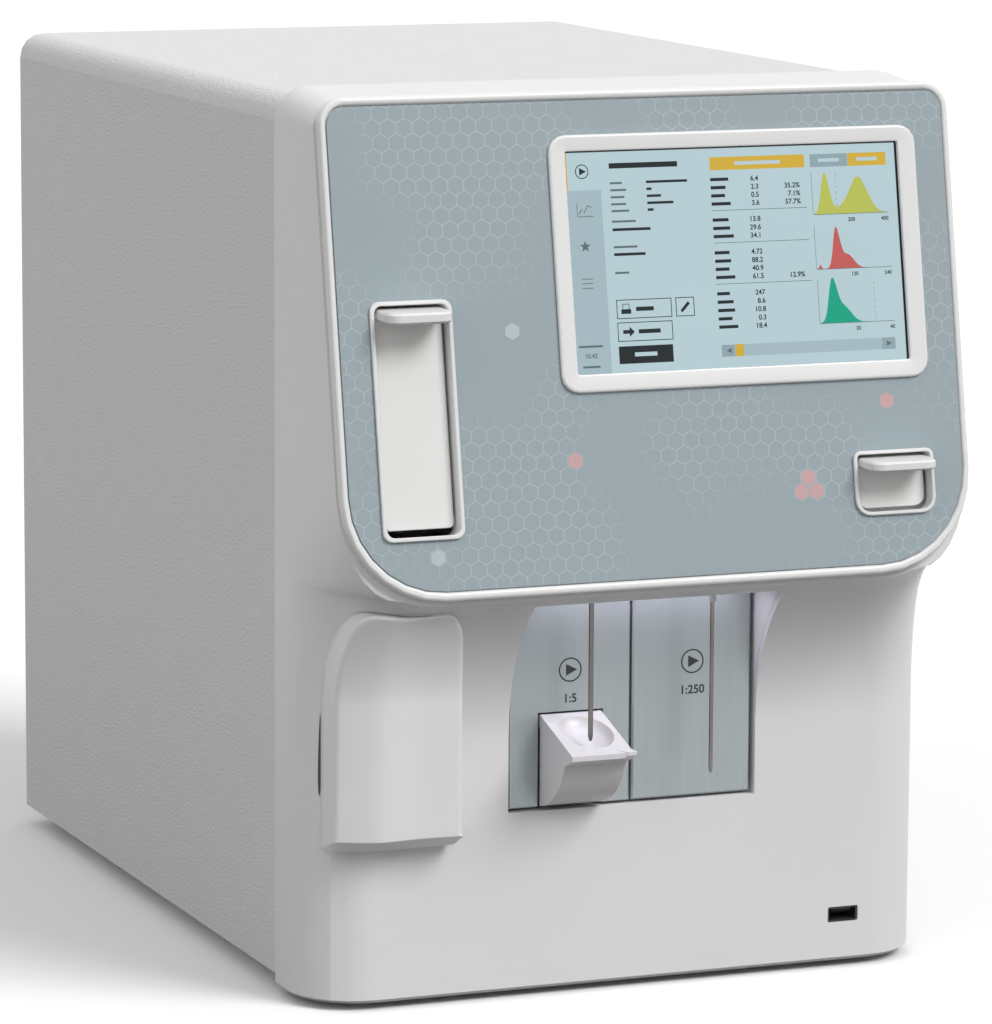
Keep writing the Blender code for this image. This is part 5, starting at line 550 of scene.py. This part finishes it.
radius = np.abs(np.where(on_side, draw_in[:, 0], draw_in[:, 1]))
turns = np.linspace(0, math.pi / 2, FILLET_STEPS + 1)[:, None]
ring_xz = edge[None] + draw_in[None] * (1 - np.cos(turns))[..., None]
ring_y = hood_face(ring_xz[..., 0], ring_xz[..., 1]) + radius * (1 - np.sin(turns))
fillet = np.stack((ring_xz[..., 0], ring_y, ring_xz[..., 1]), -1)

# Behind the edge: straight back to the shell, with a wider gap at the finger's place
# and low on the right. Under the foot it goes first along a bevel, whose front line
# falls back from its middle as the square of the way and meets the shell at its ends.
behind = shell_skin(edge[:, 0], edge[:, 1]) - HOOD_GAP
finger = (places > 3) * eased(edge[:, 1], *FINGER_LOW_Z) * (1 - eased(edge[:, 1], *FINGER_HIGH_Z))
behind -= FINGER_GAP * finger + FOOT_GAP * (places < 2) * (1 - eased(edge[:, 1], *FOOT_GAP_Z))
back = np.stack((edge[:, 0], behind, edge[:, 1]), -1)
middle = (fillet[0] + back) / 2
foot = slice(0, HOOD_COLUMNS + 1)
across = edge[foot, 0]
bevel_y = BEVEL_Y + BEVEL_LEFT_IN * (np.clip(BEVEL_X - across, 0, 1) / BEVEL_LEFT_WIDE) ** 2
bevel_y += BEVEL_RIGHT_IN * (np.clip(across - BEVEL_X, 0, 1) / BEVEL_RIGHT_WIDE) ** 2
pin_side = FOOT_BACK_Y + FOOT_BACK_IN * (np.clip(FOOT_BACK_X - across, 0, 1) / FOOT_BACK_WIDE) ** 2
back_y = np.minimum(shell_skin(across, HOOD_FOOT_Z) - HOOD_GAP, pin_side)
near_end = np.clip(np.minimum(across - HOOD_LEFT_X, HOOD_RIGHT_X - across) / BEVEL_END, 0, 1)
bevel_y = back_y + (bevel_y - back_y) * np.sqrt(1 - (1 - near_end) ** 2)
low = np.full_like(across, HOOD_FOOT_Z)
middle[foot] = np.stack((across, bevel_y, low), -1)
back[foot] = np.stack((across, back_y, low), -1)
walls = np.stack((back, (back + middle) / 2, middle, (middle + fillet[0]) / 2, fillet[0]))
rings = np.concatenate((walls, fillet[1:]))
rings = np.concatenate((rings, rings[:, :1]), 1)

# The face: a grid stretched between the four sides of the innermost ring.
inner = ring_xz[-1]
corner_at = np.cumsum((0, HOOD_COLUMNS, HOOD_ROWS, HOOD_COLUMNS))
inner_foot = inner[:corner_at[1] + 1]
inner_right = inner[corner_at[1]:corner_at[2] + 1]
inner_top = inner[corner_at[2]:corner_at[3] + 1][::-1]
inner_left = np.concatenate((inner[corner_at[3]:], inner[:1]))[::-1]
u = np.linspace(0, 1, HOOD_COLUMNS + 1)[None, :, None]
v = np.linspace(0, 1, HOOD_ROWS + 1)[:, None, None]
face_xz = (1 - v) * inner_foot[None] + v * inner_top[None]
face_xz += (1 - u) * inner_left[:, None] + u * inner_right[:, None]
face_xz -= (1 - v) * ((1 - u) * inner_foot[0] + u * inner_foot[-1])
face_xz -= v * ((1 - u) * inner_top[0] + u * inner_top[-1])
face = np.stack((face_xz[..., 0], hood_face(face_xz[..., 0], face_xz[..., 1]), face_xz[..., 1]), -1)


def knuckle(x):
    """A round lug along X: its bore, its outside and two ring ends, with a block as its root."""
    turn = np.linspace(0, math.tau, KNUCKLE_STEPS + 1)
    tube = []
    for side, size in ((-1, KNUCKLE_BORE), (-1, KNUCKLE_ROUND), (1, KNUCKLE_ROUND),
                       (1, KNUCKLE_BORE), (-1, KNUCKLE_BORE)):
        tube.append(np.stack((np.full_like(turn, x + side * KNUCKLE_WIDE / 2),
                              HOOD_PIN_Y + size * np.cos(turn),
                              HOOD_PIN_Z + size * np.sin(turn)), -1))
    back_y = HOOD_PIN_Y - KNUCKLE_BORE * ROOT_PAST_BORE
    low_z = HOOD_PIN_Z - KNUCKLE_ROUND * ROOT_DOWN
    high_z = HOOD_PIN_Z + KNUCKLE_ROUND * ROOT_UP
    loop = np.array([(back_y, low_z), (back_y, high_z), (KNUCKLE_ROOT_Y, high_z),
                     (KNUCKLE_ROOT_Y, low_z), (back_y, low_z)])
    root = []
    for side, share in ((-1, 0), (-1, 1), (1, 1), (1, 0)):
        ring = loop.mean(0) + (loop - loop.mean(0)) * share
        root.append(np.column_stack((np.full(len(loop), x + side * KNUCKLE_WIDE / 2), ring)))
    return [np.array(tube), np.array(root)]


# The hood's white is painted lighter than the shell's own, as painted light; the well and rotor behind it
# share it.
hood_white = Finish("hood_white", HOOD_HIGH, roughness=0.38)
hood_white.vary(HOOD_LOW, HOOD_HIGH, size=0.04, rough_by=0.08)
hood_white.grain(size=0.0005, depth=0.000008, detail=3.0, strength=0.6)
hood = shown("hood_moulding", soft_edged(skin("hood_moulding", rings, face)), hood_white,
             "mixer_hood", "white_plastic", "mixer_hood")
wall = hood.modifiers.new("wall", "SOLIDIFY")
wall.thickness = HOOD_WALL
wall.offset = -1.0
smooth_over(hood)
knuckles = [sheet for x in KNUCKLES_X for sheet in knuckle(x)]
shown("hood_knuckles", soft_edged(skin("hood_knuckles", *knuckles)), hood_white,
      "mixer_hood", "white_plastic")
moulded(hood_white, "mixer_well", "mixer_rotor")
moulded(steel, "hood_pin")
# The black moulding's finish also colours the painted shadow sheet of the finger recess below.
black = Finish("black_moulding_and_painted_shade", BLACK_HIGH, roughness=0.5)
black.vary(BLACK_LOW, BLACK_HIGH, size=0.008, rough_by=0.16)
black.grain(size=0.0005, depth=0.00002, detail=3.0)
moulded(black, "mixer_motor")

# Painted shadow of the finger's recess: a thin dark sheet on the shell from under the hood's left edge
# outwards, widest a quarter of the way up, and run out to nothing at both ends. The shell's skin has no
# recess here, so the sheet stands in for the recess's shade.
recess_up = np.linspace(0, 1, RECESS_STEPS + 1)
recess_wide = RECESS_WIDE * recess_up ** RECESS_POWER * (1 - recess_up)
recess_x = np.stack((np.full_like(recess_wide, HOOD_LEFT_X + RECESS_UNDER), HOOD_LEFT_X - recess_wide))
recess_z = np.broadcast_to(np.linspace(RECESS_LOW_Z, RECESS_HIGH_Z, RECESS_STEPS + 1), recess_x.shape)
recess = np.stack((recess_x, shell_skin(recess_x, recess_z) - RECESS_PROUD, recess_z), -1)
shown("painted_recess_shadow", skin("painted_recess_shadow", recess), black, "base", "black_plastic")


# Needle bay: a liner with two plates of brushed, anodised aluminium that the user
# presses, a milky drip cup on a pin, and two steel needles on a lift above. A
# violet-white lamp behind the bay's ceiling washes the plates from their top.
PLATE_LOW, PLATE_HIGH = (0.330, 0.372, 0.378, 1.0), (0.385, 0.428, 0.435, 1.0)
NEEDLE_LOW, NEEDLE_HIGH = (0.11, 0.10, 0.095, 1.0), (0.24, 0.225, 0.215, 1.0)
CUP_LOW, CUP_HIGH = (0.67, 0.658, 0.678, 1.0), (0.70, 0.688, 0.705, 1.0)
CUP_MILKY, CUP_DEEP = 0.2, 0.003
LAMP_LOW, LAMP_VIOLET = (0.85, 0.78, 0.95, 1.0), (0.88, 0.80, 1.0, 1.0)
LAMP_GLOW = 5.5
PRINT_LOW, PRINT_HIGH = (0.012, 0.012, 0.013, 1.0), (0.018, 0.018, 0.019, 1.0)
PLATE_FRONT_Y = -0.1880
PRINT_THICK = 0.00003
MARK_Z, MARK_RADIUS, MARK_LINE = 0.1434, 0.0054, 0.00065
WEDGE_BACK, WEDGE_TIP, WEDGE_HALF = 0.0020, 0.0033, 0.0026
RATIO_Z, RATIO_HIGH = 0.1291, 0.0039
TYPE_SIZE, TYPE_BOLD = 1.37, 0.03
CIRCLE_STEPS = 48
FERRULE_MIDDLE_Z, FERRULE_DOWN = 0.179, 0.0028


def band(outer, inner):
    """Points of a flat ring or frame: its outer line and its inner line, as two rows."""
    return np.stack((np.asarray(outer), np.asarray(inner)))


def circle(x, up, radius):
    """A circle's points, with the last the same as the first."""
    turn = np.linspace(0, math.tau, CIRCLE_STEPS + 1)
    return np.column_stack((x + radius * np.cos(turn), up + radius * np.sin(turn)))


def filled(points):
    """A flat shape as two rows of points: its line, and its middle."""
    points = np.asarray(points, dtype=float)
    points = np.concatenate((points, points[:1]))
    return np.stack((points, np.broadcast_to(points.mean(0), points.shape)))


def figures(text, x, up, high, align="LEFT"):
    """Numbers from Blender's own typeface, a little bolder, as flat corners and faces."""
    curve = bpy.data.curves.new("figures", "FONT")
    curve.body = text
    curve.align_x = align
    curve.size = high * TYPE_SIZE
    curve.offset = high * TYPE_BOLD
    written = bpy.data.objects.new("figures", curve)
    mesh = written.to_mesh()
    corners = np.array([corner.co[:2] for corner in mesh.vertices]) + (x, up)
    faces = [tuple(face.vertices) for face in mesh.polygons]
    written.to_mesh_clear()
    bpy.data.objects.remove(written)
    bpy.data.curves.remove(curve)
    return corners, faces


def printed(name, place, flats, writings=()):
    """A thin print: flat shapes and numbers, put on a surface by a function of (across, up)."""
    corners, faces, start = [], [], 0
    for rows in flats:
        faces += squares(rows, start).tolist()
        corners.append(rows.reshape(-1, 2))
        start += len(corners[-1])
    for points, shapes in writings:
        faces += [tuple(index + start for index in shape) for shape in shapes]
        corners.append(points)
        start += len(points)
    mesh = bpy.data.meshes.new(name)
    mesh.from_pydata(place(np.concatenate(corners)).tolist(), [], faces)
    work = bmesh.new()
    work.from_mesh(mesh)
    bmesh.ops.remove_doubles(work, verts=work.verts, dist=WELD / 10)
    work.normal_update()
    for face in work.faces:
        if face.normal.y > 0:
            face.normal_flip()
    work.to_mesh(mesh)
    work.free()
    return mesh


def on_plates(flat):
    """Puts (across, up) on the front of the plates."""
    return np.column_stack((flat[:, 0], np.full(len(flat), PLATE_FRONT_Y - PRINT_THICK), flat[:, 1]))


liner_white = Finish("liner_white", WHITE_HIGH, roughness=0.4)
liner_white.vary(WHITE_LOW, WHITE_HIGH, size=0.03, rough_by=0.08)
moulded(liner_white, "bay_liner", "plate_carrier")
plate_grey = Finish("brushed_plate", PLATE_HIGH, roughness=0.36, Metallic=0.45)
plate_grey.vary(PLATE_LOW, PLATE_HIGH, size=0.0012, rough_by=0.10, stretch=(1.0, 1.0, 0.02))
moulded(plate_grey, "start_plate_left", "start_plate_right")
ink = Finish("printing_ink", PRINT_LOW, roughness=0.5)
ink.vary(PRINT_LOW, PRINT_HIGH, size=0.003, rough_by=0.1)
for side, mark_x, ratio in (("left", -0.0275, "1:5"), ("right", 0.0303, "1:250")):
    ring = band(circle(mark_x, MARK_Z, MARK_RADIUS),
                circle(mark_x, MARK_Z, MARK_RADIUS - MARK_LINE))
    wedge = filled([(mark_x - WEDGE_BACK, MARK_Z - WEDGE_HALF), (mark_x + WEDGE_TIP, MARK_Z),
                    (mark_x - WEDGE_BACK, MARK_Z + WEDGE_HALF)])
    writing = figures(ratio, mark_x, RATIO_Z, RATIO_HIGH, "CENTER")
    shown("start_mark_" + side, printed("start_mark_" + side, on_plates, [ring, wedge], [writing]),
          ink, "start_plate_" + side, "black_plastic")
milky = Finish("milky_cup", CUP_HIGH, roughness=0.3, Subsurface_Weight=CUP_MILKY,
               Subsurface_Scale=CUP_DEEP)
milky.vary(CUP_LOW, CUP_HIGH, size=0.006, rough_by=0.1)
moulded(milky, "drip_cup")
needle_steel = Finish("needle_steel", NEEDLE_HIGH, roughness=0.3, Metallic=1.0)
needle_steel.vary(NEEDLE_LOW, NEEDLE_HIGH, size=0.006, rough_by=0.12, stretch=(1.0, 1.0, 0.2))
moulded(needle_steel, "needle_left", "needle_right")
moulded(steel, "cup_pin", "lift_frame")
moulded(acetal, "needle_ferrule")

# The photograph shows the ferrule longer than the solid, so its lower half moves down.
collar = bpy.data.objects["needle_ferrule_skin"].data
spots = np.empty((len(collar.vertices), 3), dtype=np.float32)
collar.vertices.foreach_get("co", spots.ravel())
spots[spots[:, 2] < FERRULE_MIDDLE_Z, 2] -= FERRULE_DOWN
collar.vertices.foreach_set("co", spots.ravel())
collar.update()

moulded(black, "needle_carriage_left", "needle_carriage_right")
glow = Finish("lamp_diffuser", LAMP_VIOLET, roughness=0.5, Emission_Color=LAMP_VIOLET,
              Emission_Strength=LAMP_GLOW)
glow.vary(LAMP_LOW, LAMP_VIOLET, size=0.005, rough_by=0.1)
moulded(glow, "bay_lamp")


# Control panel: a satin white tray moulding on the shell's tilted seat, whose rounded
# rim frames a printed film that is stuck into it. The film's pale honeycomb of
# hairlines fades in and out on grey blue, with a few cells filled in.
RIM_LOW, RIM_HIGH = (0.755, 0.750, 0.745, 1.0), (0.785, 0.780, 0.776, 1.0)
PANEL_TILT = math.radians(10.27)
PANEL_FOOT_Y, PANEL_FOOT_Z = -0.23165, 0.185
FILM, HAIRLINE = (0.305, 0.370, 0.398, 1.0), (0.470, 0.530, 0.550, 1.0)
FILLED_PINK, FILLED_PALE = (0.66, 0.36, 0.36, 1.0), (0.56, 0.63, 0.67, 1.0)
CELL_WIDE = 0.0072
LINE_WIDE, LINE_SOFT, LINE_STRONG = 0.00028, 0.6, 0.75
CLOUD_SCALE, FADE_FROM, FADE_OVER = 14.0, 0.40, 0.16
PINK_STRONG, PALE_STRONG = 0.75, 0.6
TRIO_REACH, CELL_REACH = 0.62, 0.5
PINK_TRIOS = ((-0.0396, 0.0561), (0.0684, 0.0394))
PINK_CELLS = ((-0.0828, 0.1496), (0.1080, 0.0748))
PALE_CELLS = ((-0.0648, 0.1122), (0.0144, 0.0312), (-0.1044, 0.0187))

rim_white = Finish("rim_white", RIM_HIGH, roughness=0.36, Coat_Weight=0.08, Coat_Roughness=0.30)
rim_white.vary(RIM_LOW, RIM_HIGH, size=0.05, rough_by=0.06)
moulded(rim_white, "panel_rim")
film = Finish("printed_film", FILM, roughness=0.36)
film_x = film.axis(0)
film_up = ((film.axis(1) - PANEL_FOOT_Y) * math.sin(PANEL_TILT)
           + (film.axis(2) - PANEL_FOOT_Z) * math.cos(PANEL_TILT))


def nearest_cell(along, up, wide, shift):
    """Offsets from the nearest point of a lattice of that width and height, moved by half of both."""
    tall = wide * math.sqrt(3)
    return tuple(
        value - ((value - size * shift) * (1 / size)).calc("ROUND") * size - size * shift
        for value, size in ((along, wide), (up, tall)))


def hexagon_reach(across, up):
    """How far out a point lies in a pointed-top hexagon, 0 in its middle and half its width at its edge."""
    slanted = across.calc("ABSOLUTE") * 0.5 + up.calc("ABSOLUTE") * (math.sqrt(3) / 2)
    return slanted.calc("MAXIMUM", across.calc("ABSOLUTE"))


# The honeycomb is two lattices of cells, the second moved by half a cell from the
# first. A point belongs to the cell that it lies deeper in.
first = nearest_cell(film_x, film_up, CELL_WIDE, 0.0)
second = nearest_cell(film_x, film_up, CELL_WIDE, 0.5)
reaches = [hexagon_reach(*offsets) for offsets in (first, second)]
in_second = reaches[0].calc("GREATER_THAN", reaches[1])
reach = reaches[0].calc("MINIMUM", reaches[1])
offset_x = first[0] + (second[0] - first[0]) * in_second
offset_up = first[1] + (second[1] - first[1]) * in_second
cell = film_x.node("ShaderNodeCombineXYZ", inputs={0: film_x - offset_x, 1: film_up - offset_up})
cloud = cell.node("ShaderNodeTexNoise", inputs={"Vector": cell, "Scale": CLOUD_SCALE, "Detail": 1.0})
fade = cloud.above(FADE_FROM, FADE_OVER)
line = reach.above(CELL_WIDE / 2 - LINE_WIDE, LINE_WIDE * LINE_SOFT) * fade * LINE_STRONG
inside = 1.0 - reach.above(CELL_WIDE / 2 - LINE_WIDE * 2, LINE_WIDE)


def filled_cells(spots, reach_out):
    """1 in every cell whose middle lies within a reach of one of the spots."""
    total = 0.0
    for spot in spots:
        away = cell.node("ShaderNodeVectorMath", {"operation": "DISTANCE"}, {0: cell, 1: (*spot, 0.0)},
                         "Value")
        total = total + away.calc("LESS_THAN", reach_out)
    return total.calc("MINIMUM", 1.0) * inside


pink_trios = filled_cells(PINK_TRIOS, CELL_WIDE * TRIO_REACH)
pink = pink_trios.calc("MAXIMUM", filled_cells(PINK_CELLS, CELL_WIDE * CELL_REACH))
pale = filled_cells(PALE_CELLS, CELL_WIDE * CELL_REACH)
with_pale = (pale * PALE_STRONG).colour(line.colour(FILM, HAIRLINE), FILLED_PALE)
film.feed("Base Color", (pink * PINK_STRONG).colour(with_pale, FILLED_PINK))
film.grain(size=0.0003, depth=0.000006, detail=3.0, strength=0.5)
moulded(film, "front_overlay")


# Touch screen: a white bezel, a black glass pane and the lit picture behind it. The
# picture is a plain page of measured values: a side strip with icons, a table of
# numbers beside short bars, three curves, and buttons. Each colour is one thin print,
# whose places are in millimetres across and up the panel.
GLASS_DARK, GLASS_LIGHT = (0.012, 0.014, 0.016, 1.0), (0.016, 0.018, 0.021, 1.0)
GLASS_DEPTH = -0.00175
PICTURE_STEP = 0.00003
PICTURE_GLOW, PICTURE_DIM, PICTURE_GLOSS = 0.93, 0.94, 0.12
PAGE, STRIP = (0.508, 0.658, 0.708, 1.0), (0.402, 0.521, 0.571, 1.0)
GOLD, TAB_GREY = (0.686, 0.445, 0.039, 1.0), (0.300, 0.402, 0.445, 1.0)
FAINT_INK, DARK_INK = (0.120, 0.165, 0.185, 1.0), (0.010, 0.014, 0.016, 1.0)
CURVE_LIME, CURVE_RED = (0.515, 0.558, 0.095, 1.0), (0.584, 0.109, 0.095, 1.0)
CURVE_GREEN = (0.002, 0.387, 0.231, 1.0)
PICTURE_LEFT, PICTURE_RIGHT, PICTURE_LOW, PICTURE_HIGH = -36.5, 119.4, 92.4, 186.8
VALUE_X, SHARE_X, BAR_X, TABLE_RIGHT = 53.8, 73.3, 31.2, 76.1
VALUE_HIGH, SCALE_HIGH, PLAIN_HIGH = 2.25, 1.7, 2.0
GRAPH_LEFT, GRAPH_RIGHT, GRAPH_HIGH = 79.0, 114.9, 18.6
LIME_FOOT, RED_FOOT, GREEN_FOOT = 156.8, 133.1, 109.6
STAR_OUT, STAR_IN, STAR_X, STAR_UP = 2.6, 1.1, -28.6, 146.8


def on_glass(layer):
    """A function that puts millimetres across and up the panel on a layer in front of the glass."""
    depth = GLASS_DEPTH + PICTURE_STEP * layer

    def place(flat):
        across, up = flat[:, 0] / 1000, flat[:, 1] / 1000
        y = PANEL_FOOT_Y + up * math.sin(PANEL_TILT) - depth * math.cos(PANEL_TILT)
        z = PANEL_FOOT_Z + up * math.cos(PANEL_TILT) + depth * math.sin(PANEL_TILT)
        return np.column_stack((across, y, z))

    return place


def oblong(left, right, low, high):
    """A flat rectangle as two rows of two points."""
    return np.array([[(left, low), (right, low)], [(left, high), (right, high)]], dtype=float)


def outline(left, right, low, high, line):
    """A rectangle's outline of that thickness."""
    outer = [(left, low), (right, low), (right, high), (left, high), (left, low)]
    inner = [(left + line, low + line), (right - line, low + line), (right - line, high - line),
             (left + line, high - line), (left + line, low + line)]
    return band(outer, inner)


def under_curve(low, heights):
    """The area between a base line and a curve over the graph's width."""
    across = np.linspace(GRAPH_LEFT, GRAPH_RIGHT, len(heights))
    base = np.column_stack((across, np.full(len(heights), low)))
    return np.stack((base, np.column_stack((across, low + heights))))


def stroke(points, wide):
    """A line of constant width along points, as two rows: each side of it."""
    points = np.asarray(points, dtype=float)
    along = np.gradient(points, axis=0)
    along /= np.linalg.norm(along, axis=1, keepdims=True)
    side = np.column_stack((-along[:, 1], along[:, 0])) * wide / 2
    return np.stack((points - side, points + side))


# The table's rows: their height on the panel, a value, and a share where there is one.
values = (
    (172.4, "6.4", ""), (168.9, "2.3", "35.2%"), (165.4, "0.5", "7.1%"), (161.9, "3.6", "57.7%"),
    (155.0, "13.8", ""), (151.4, "29.6", ""), (147.9, "34.1", ""),
    (140.9, "4.72", ""), (137.3, "88.2", ""), (133.8, "40.9", ""), (130.3, "61.5", "12.9%"),
    (123.3, "247", ""), (119.7, "8.6", ""), (116.1, "10.8", ""), (112.5, "0.3", ""), (109.0, "18.4", ""),
)
bar_lengths = (8.5, 7.0, 6.5, 9.0, 7.5, 8.0, 9.5, 7.0, 7.5, 6.5, 9.0, 6.0, 7.5, 8.0, 6.5, 9.0)

# The heights of the three curves, as sums of bells over the graphs' width.
share = np.linspace(0, 1, 61)
lime_curve = 17.5 * hump(share, 0.17, 0.075) + 15.0 * hump(share, 0.62, 0.16)
lime_curve += 2.6 * hump(share, 0.40, 0.20)
red_curve = 17.0 * hump(share, 0.28, 0.065) + 6.0 * hump(share, 0.42, 0.11)
red_curve += 2.0 * hump(share, 0.05, 0.02)
green_curve = 17.5 * hump(share, 0.19, 0.08) + 7.0 * hump(share, 0.33, 0.13)
star_turn = math.pi / 2 + np.arange(10) * math.pi / 5
star_reach = np.where(np.arange(10) % 2 == 0, STAR_OUT, STAR_IN)

page = [oblong(PICTURE_LEFT, PICTURE_RIGHT, PICTURE_LOW, PICTURE_HIGH)]
strip = [oblong(PICTURE_LEFT, -19.8, PICTURE_LOW, 170.7), oblong(31.8, 114.4, 97.2, 102.3)]
gold = [oblong(PICTURE_LEFT, -35.0, 170.9, PICTURE_HIGH), oblong(31.4, 76.1, 177.4, 183.0),
        oblong(96.8, 115.1, 177.3, 182.9), oblong(38.2, 42.2, 97.2, 102.4)]
tab = [oblong(78.7, 96.7, 177.3, 182.9), oblong(31.8, 38.0, 97.2, 102.3),
       oblong(108.0, 114.4, 97.2, 102.3)]
faint = [
    stroke([(-31.4, 165.2), (-31.4, 159.6), (-24.0, 159.6)], 0.35),
    stroke([(-30.6, 160.6), (-29.4, 162.6), (-28.2, 161.2), (-26.4, 164.2), (-24.8, 163.4)], 0.45),
    filled(np.column_stack((STAR_X + star_reach * np.cos(star_turn),
                            STAR_UP + star_reach * np.sin(star_turn)))),
    *[oblong(-31.1, -26.0, low, low + 0.35) for low in (132.8, 130.9, 128.9)],
    *[oblong(left, left + wide, low, low + 0.9) for left, wide, low in (
        (-15.6, 5.6, 172.9), (-15.6, 7.4, 169.9), (-15.6, 6.4, 166.9), (-15.6, 7.0, 163.9),
        (-15.6, 8.2, 161.0), (-15.6, 11.0, 156.5), (-15.6, 11.0, 145.6), (-15.6, 6.4, 134.6),
        (-34.4, 11.0, 103.8), (-33.0, 8.0, 95.1))],
    *[oblong(BAR_X, TABLE_RIGHT, low, low + 0.25) for low in (159.9, 146.0, 128.3)],
    *[oblong(GRAPH_LEFT, GRAPH_RIGHT, low - 0.25, low) for low in (LIME_FOOT, RED_FOOT, GREEN_FOOT)],
    *[oblong(GRAPH_LEFT - 0.2, GRAPH_LEFT, low, low + GRAPH_HIGH)
      for low in (LIME_FOOT, RED_FOOT, GREEN_FOOT)],
    *[oblong(at, at + 0.15, low, low + 1.3) for at, start, count in ((90.3, 157.4, 7), (105.6, 110.2, 7))
      for low in start + 2.6 * np.arange(count)],
    filled([(36.4, 98.6), (36.4, 101.0), (34.0, 99.8)]),
    filled([(110.2, 98.6), (110.2, 101.0), (112.6, 99.8)]),
]
dark = [
    band(circle(-28.2, 178.7, 3.1), circle(-28.2, 178.7, 2.7)),
    filled([(-29.4, 177.1), (-26.2, 178.7), (-29.4, 180.3)]),
    oblong(-15.6, 16.2, 179.6, 181.9),
    *[oblong(BAR_X, BAR_X + wide, row[0] + 0.3, row[0] + 1.7) for row, wide in zip(values, bar_lengths)],
    outline(-16.0, 9.6, 115.4, 123.6, 0.35), outline(11.5, 20.2, 115.4, 123.6, 0.35),
    outline(-16.1, 9.5, 105.7, 113.9, 0.35), oblong(-16.1, 9.1, 96.2, 103.7),
    oblong(-13.9, -9.3, 117.5, 119.4), outline(-13.2, -10.0, 119.2, 121.8, 0.3),
    oblong(-7.0, 1.2, 118.5, 120.3), filled([(14.4, 117.0), (18.2, 120.8), (17.2, 121.8), (13.6, 118.0)]),
    oblong(-13.6, -10.6, 109.0, 110.6), filled([(-10.6, 107.6), (-8.2, 109.8), (-10.6, 112.0)]),
    oblong(-6.4, 3.8, 108.9, 110.7), oblong(-15.6, 2.0, 152.9, 154.1), oblong(-15.6, -1.0, 142.3, 143.5),
    oblong(1.2, 20.4, 172.9, 174.0), oblong(1.2, 3.6, 169.9, 171.0), oblong(1.2, 7.8, 166.9, 168.0),
    oblong(1.2, 13.4, 163.9, 165.0), oblong(1.2, 4.0, 161.0, 162.1),
]
dark_writing = [figures(number, VALUE_X, up, VALUE_HIGH, "RIGHT") for up, number, _ in values]
dark_writing += [figures(number, SHARE_X, up, VALUE_HIGH, "RIGHT") for up, _, number in values if number]
dark_writing += [figures(number, x, up, SCALE_HIGH, "CENTER") for number, x, up in (
    ("200", 97.0, 153.4), ("400", 113.0, 153.4), ("120", 97.0, 129.8), ("240", 113.0, 129.8),
    ("20", 97.2, 106.2), ("40", 113.6, 106.2))]
pale = [oblong(-8.8, 1.6, 99.2, 100.9), oblong(43.0, 64.5, 179.4, 180.9),
        oblong(82.6, 92.6, 179.4, 180.9), oblong(101.0, 110.8, 179.4, 180.9)]
prints = (
    ("page", PAGE, 1, page, ()), ("strip", STRIP, 2, strip, ()), ("gold", GOLD, 3, gold, ()),
    ("tab", TAB_GREY, 3, tab, ()), ("lime", CURVE_LIME, 2, [under_curve(LIME_FOOT, lime_curve)], ()),
    ("red", CURVE_RED, 2, [under_curve(RED_FOOT, red_curve)], ()),
    ("green", CURVE_GREEN, 2, [under_curve(GREEN_FOOT, green_curve)], ()),
    ("faint", FAINT_INK, 4, faint, [figures("10.42", -29.0, 99.3, PLAIN_HIGH, "CENTER")]),
    ("dark", DARK_INK, 4, dark, dark_writing), ("pale", PAGE, 5, pale, ()),
)

moulded(rim_white, "screen_bezel")
glass = Finish("touch_glass", GLASS_DARK, roughness=0.14)
glass.vary(GLASS_DARK, GLASS_LIGHT, size=0.02, rough_by=0.04)
moulded(glass, "touch_glass")
moulded(black, "lcd_module")
for name, colour, layer, flats, writings in prints:
    dimmer = [PICTURE_DIM * part for part in colour[:3]] + [1.0]
    lit = Finish("picture_" + name, GLASS_DARK, roughness=0.3, Emission_Color=colour,
                 Emission_Strength=PICTURE_GLOW, Specular_IOR_Level=PICTURE_GLOSS)
    lit.feed("Emission Color", lit.noise(size=0.08).colour(colour, dimmer))
    shown("screen_" + name, printed("screen_" + name, on_glass(layer), flats, writings), lit,
          "base", "screen_glass")


# Tube door and drawer: a tall white flap with a finger lip, hinged on a steel pin in
# a white ring, with a round holder for one sample tube behind it, and a small drawer
# with its tray, which slides in a housing behind its own ring. All are moulded.
DOOR_LOW, DOOR_HIGH = (0.760, 0.755, 0.745, 1.0), (0.785, 0.780, 0.770, 1.0)

door_white = Finish("door_white", DOOR_HIGH, roughness=0.3)
door_white.vary(DOOR_LOW, DOOR_HIGH, size=0.03, rough_by=0.06)
door_white.grain(size=0.0004, depth=0.000005, detail=3.0, strength=0.5)
moulded(rim_white, "door_ring", "drawer_ring")
moulded(door_white, "tube_door", "tube_holder", "drawer_front", "drawer_tray", "drawer_housing")
moulded(steel, "door_hinge_pin")


# Cover and rear panel: bent steel sheet with a coarse, matt powder coat whose
# pebbles are about a millimetre apart.
COAT_LOW, COAT_HIGH = (0.690, 0.682, 0.680, 1.0), (0.735, 0.728, 0.726, 1.0)
PEBBLE, PEBBLE_DEEP = 0.0014, 0.0006

powder = Finish("powder_coat", COAT_HIGH, roughness=0.62)
powder.vary(COAT_LOW, COAT_HIGH, size=0.02, rough_by=0.1)
powder.grain(size=PEBBLE, depth=PEBBLE_DEEP)
moulded(powder, "top_cover", "rear_panel")


# Rear fittings: fan with its wire guard, mains inlet with a rocker switch, reagent
# spigots and data ports, all screwed or snapped into the rear panel.
moulded(black, "fan_frame", "fan_rotor", "mains_inlet", "rocker_switch")
moulded(steel, "fan_guard")
moulded(acetal, "reagent_ports")
moulded(zinc, "data_ports")
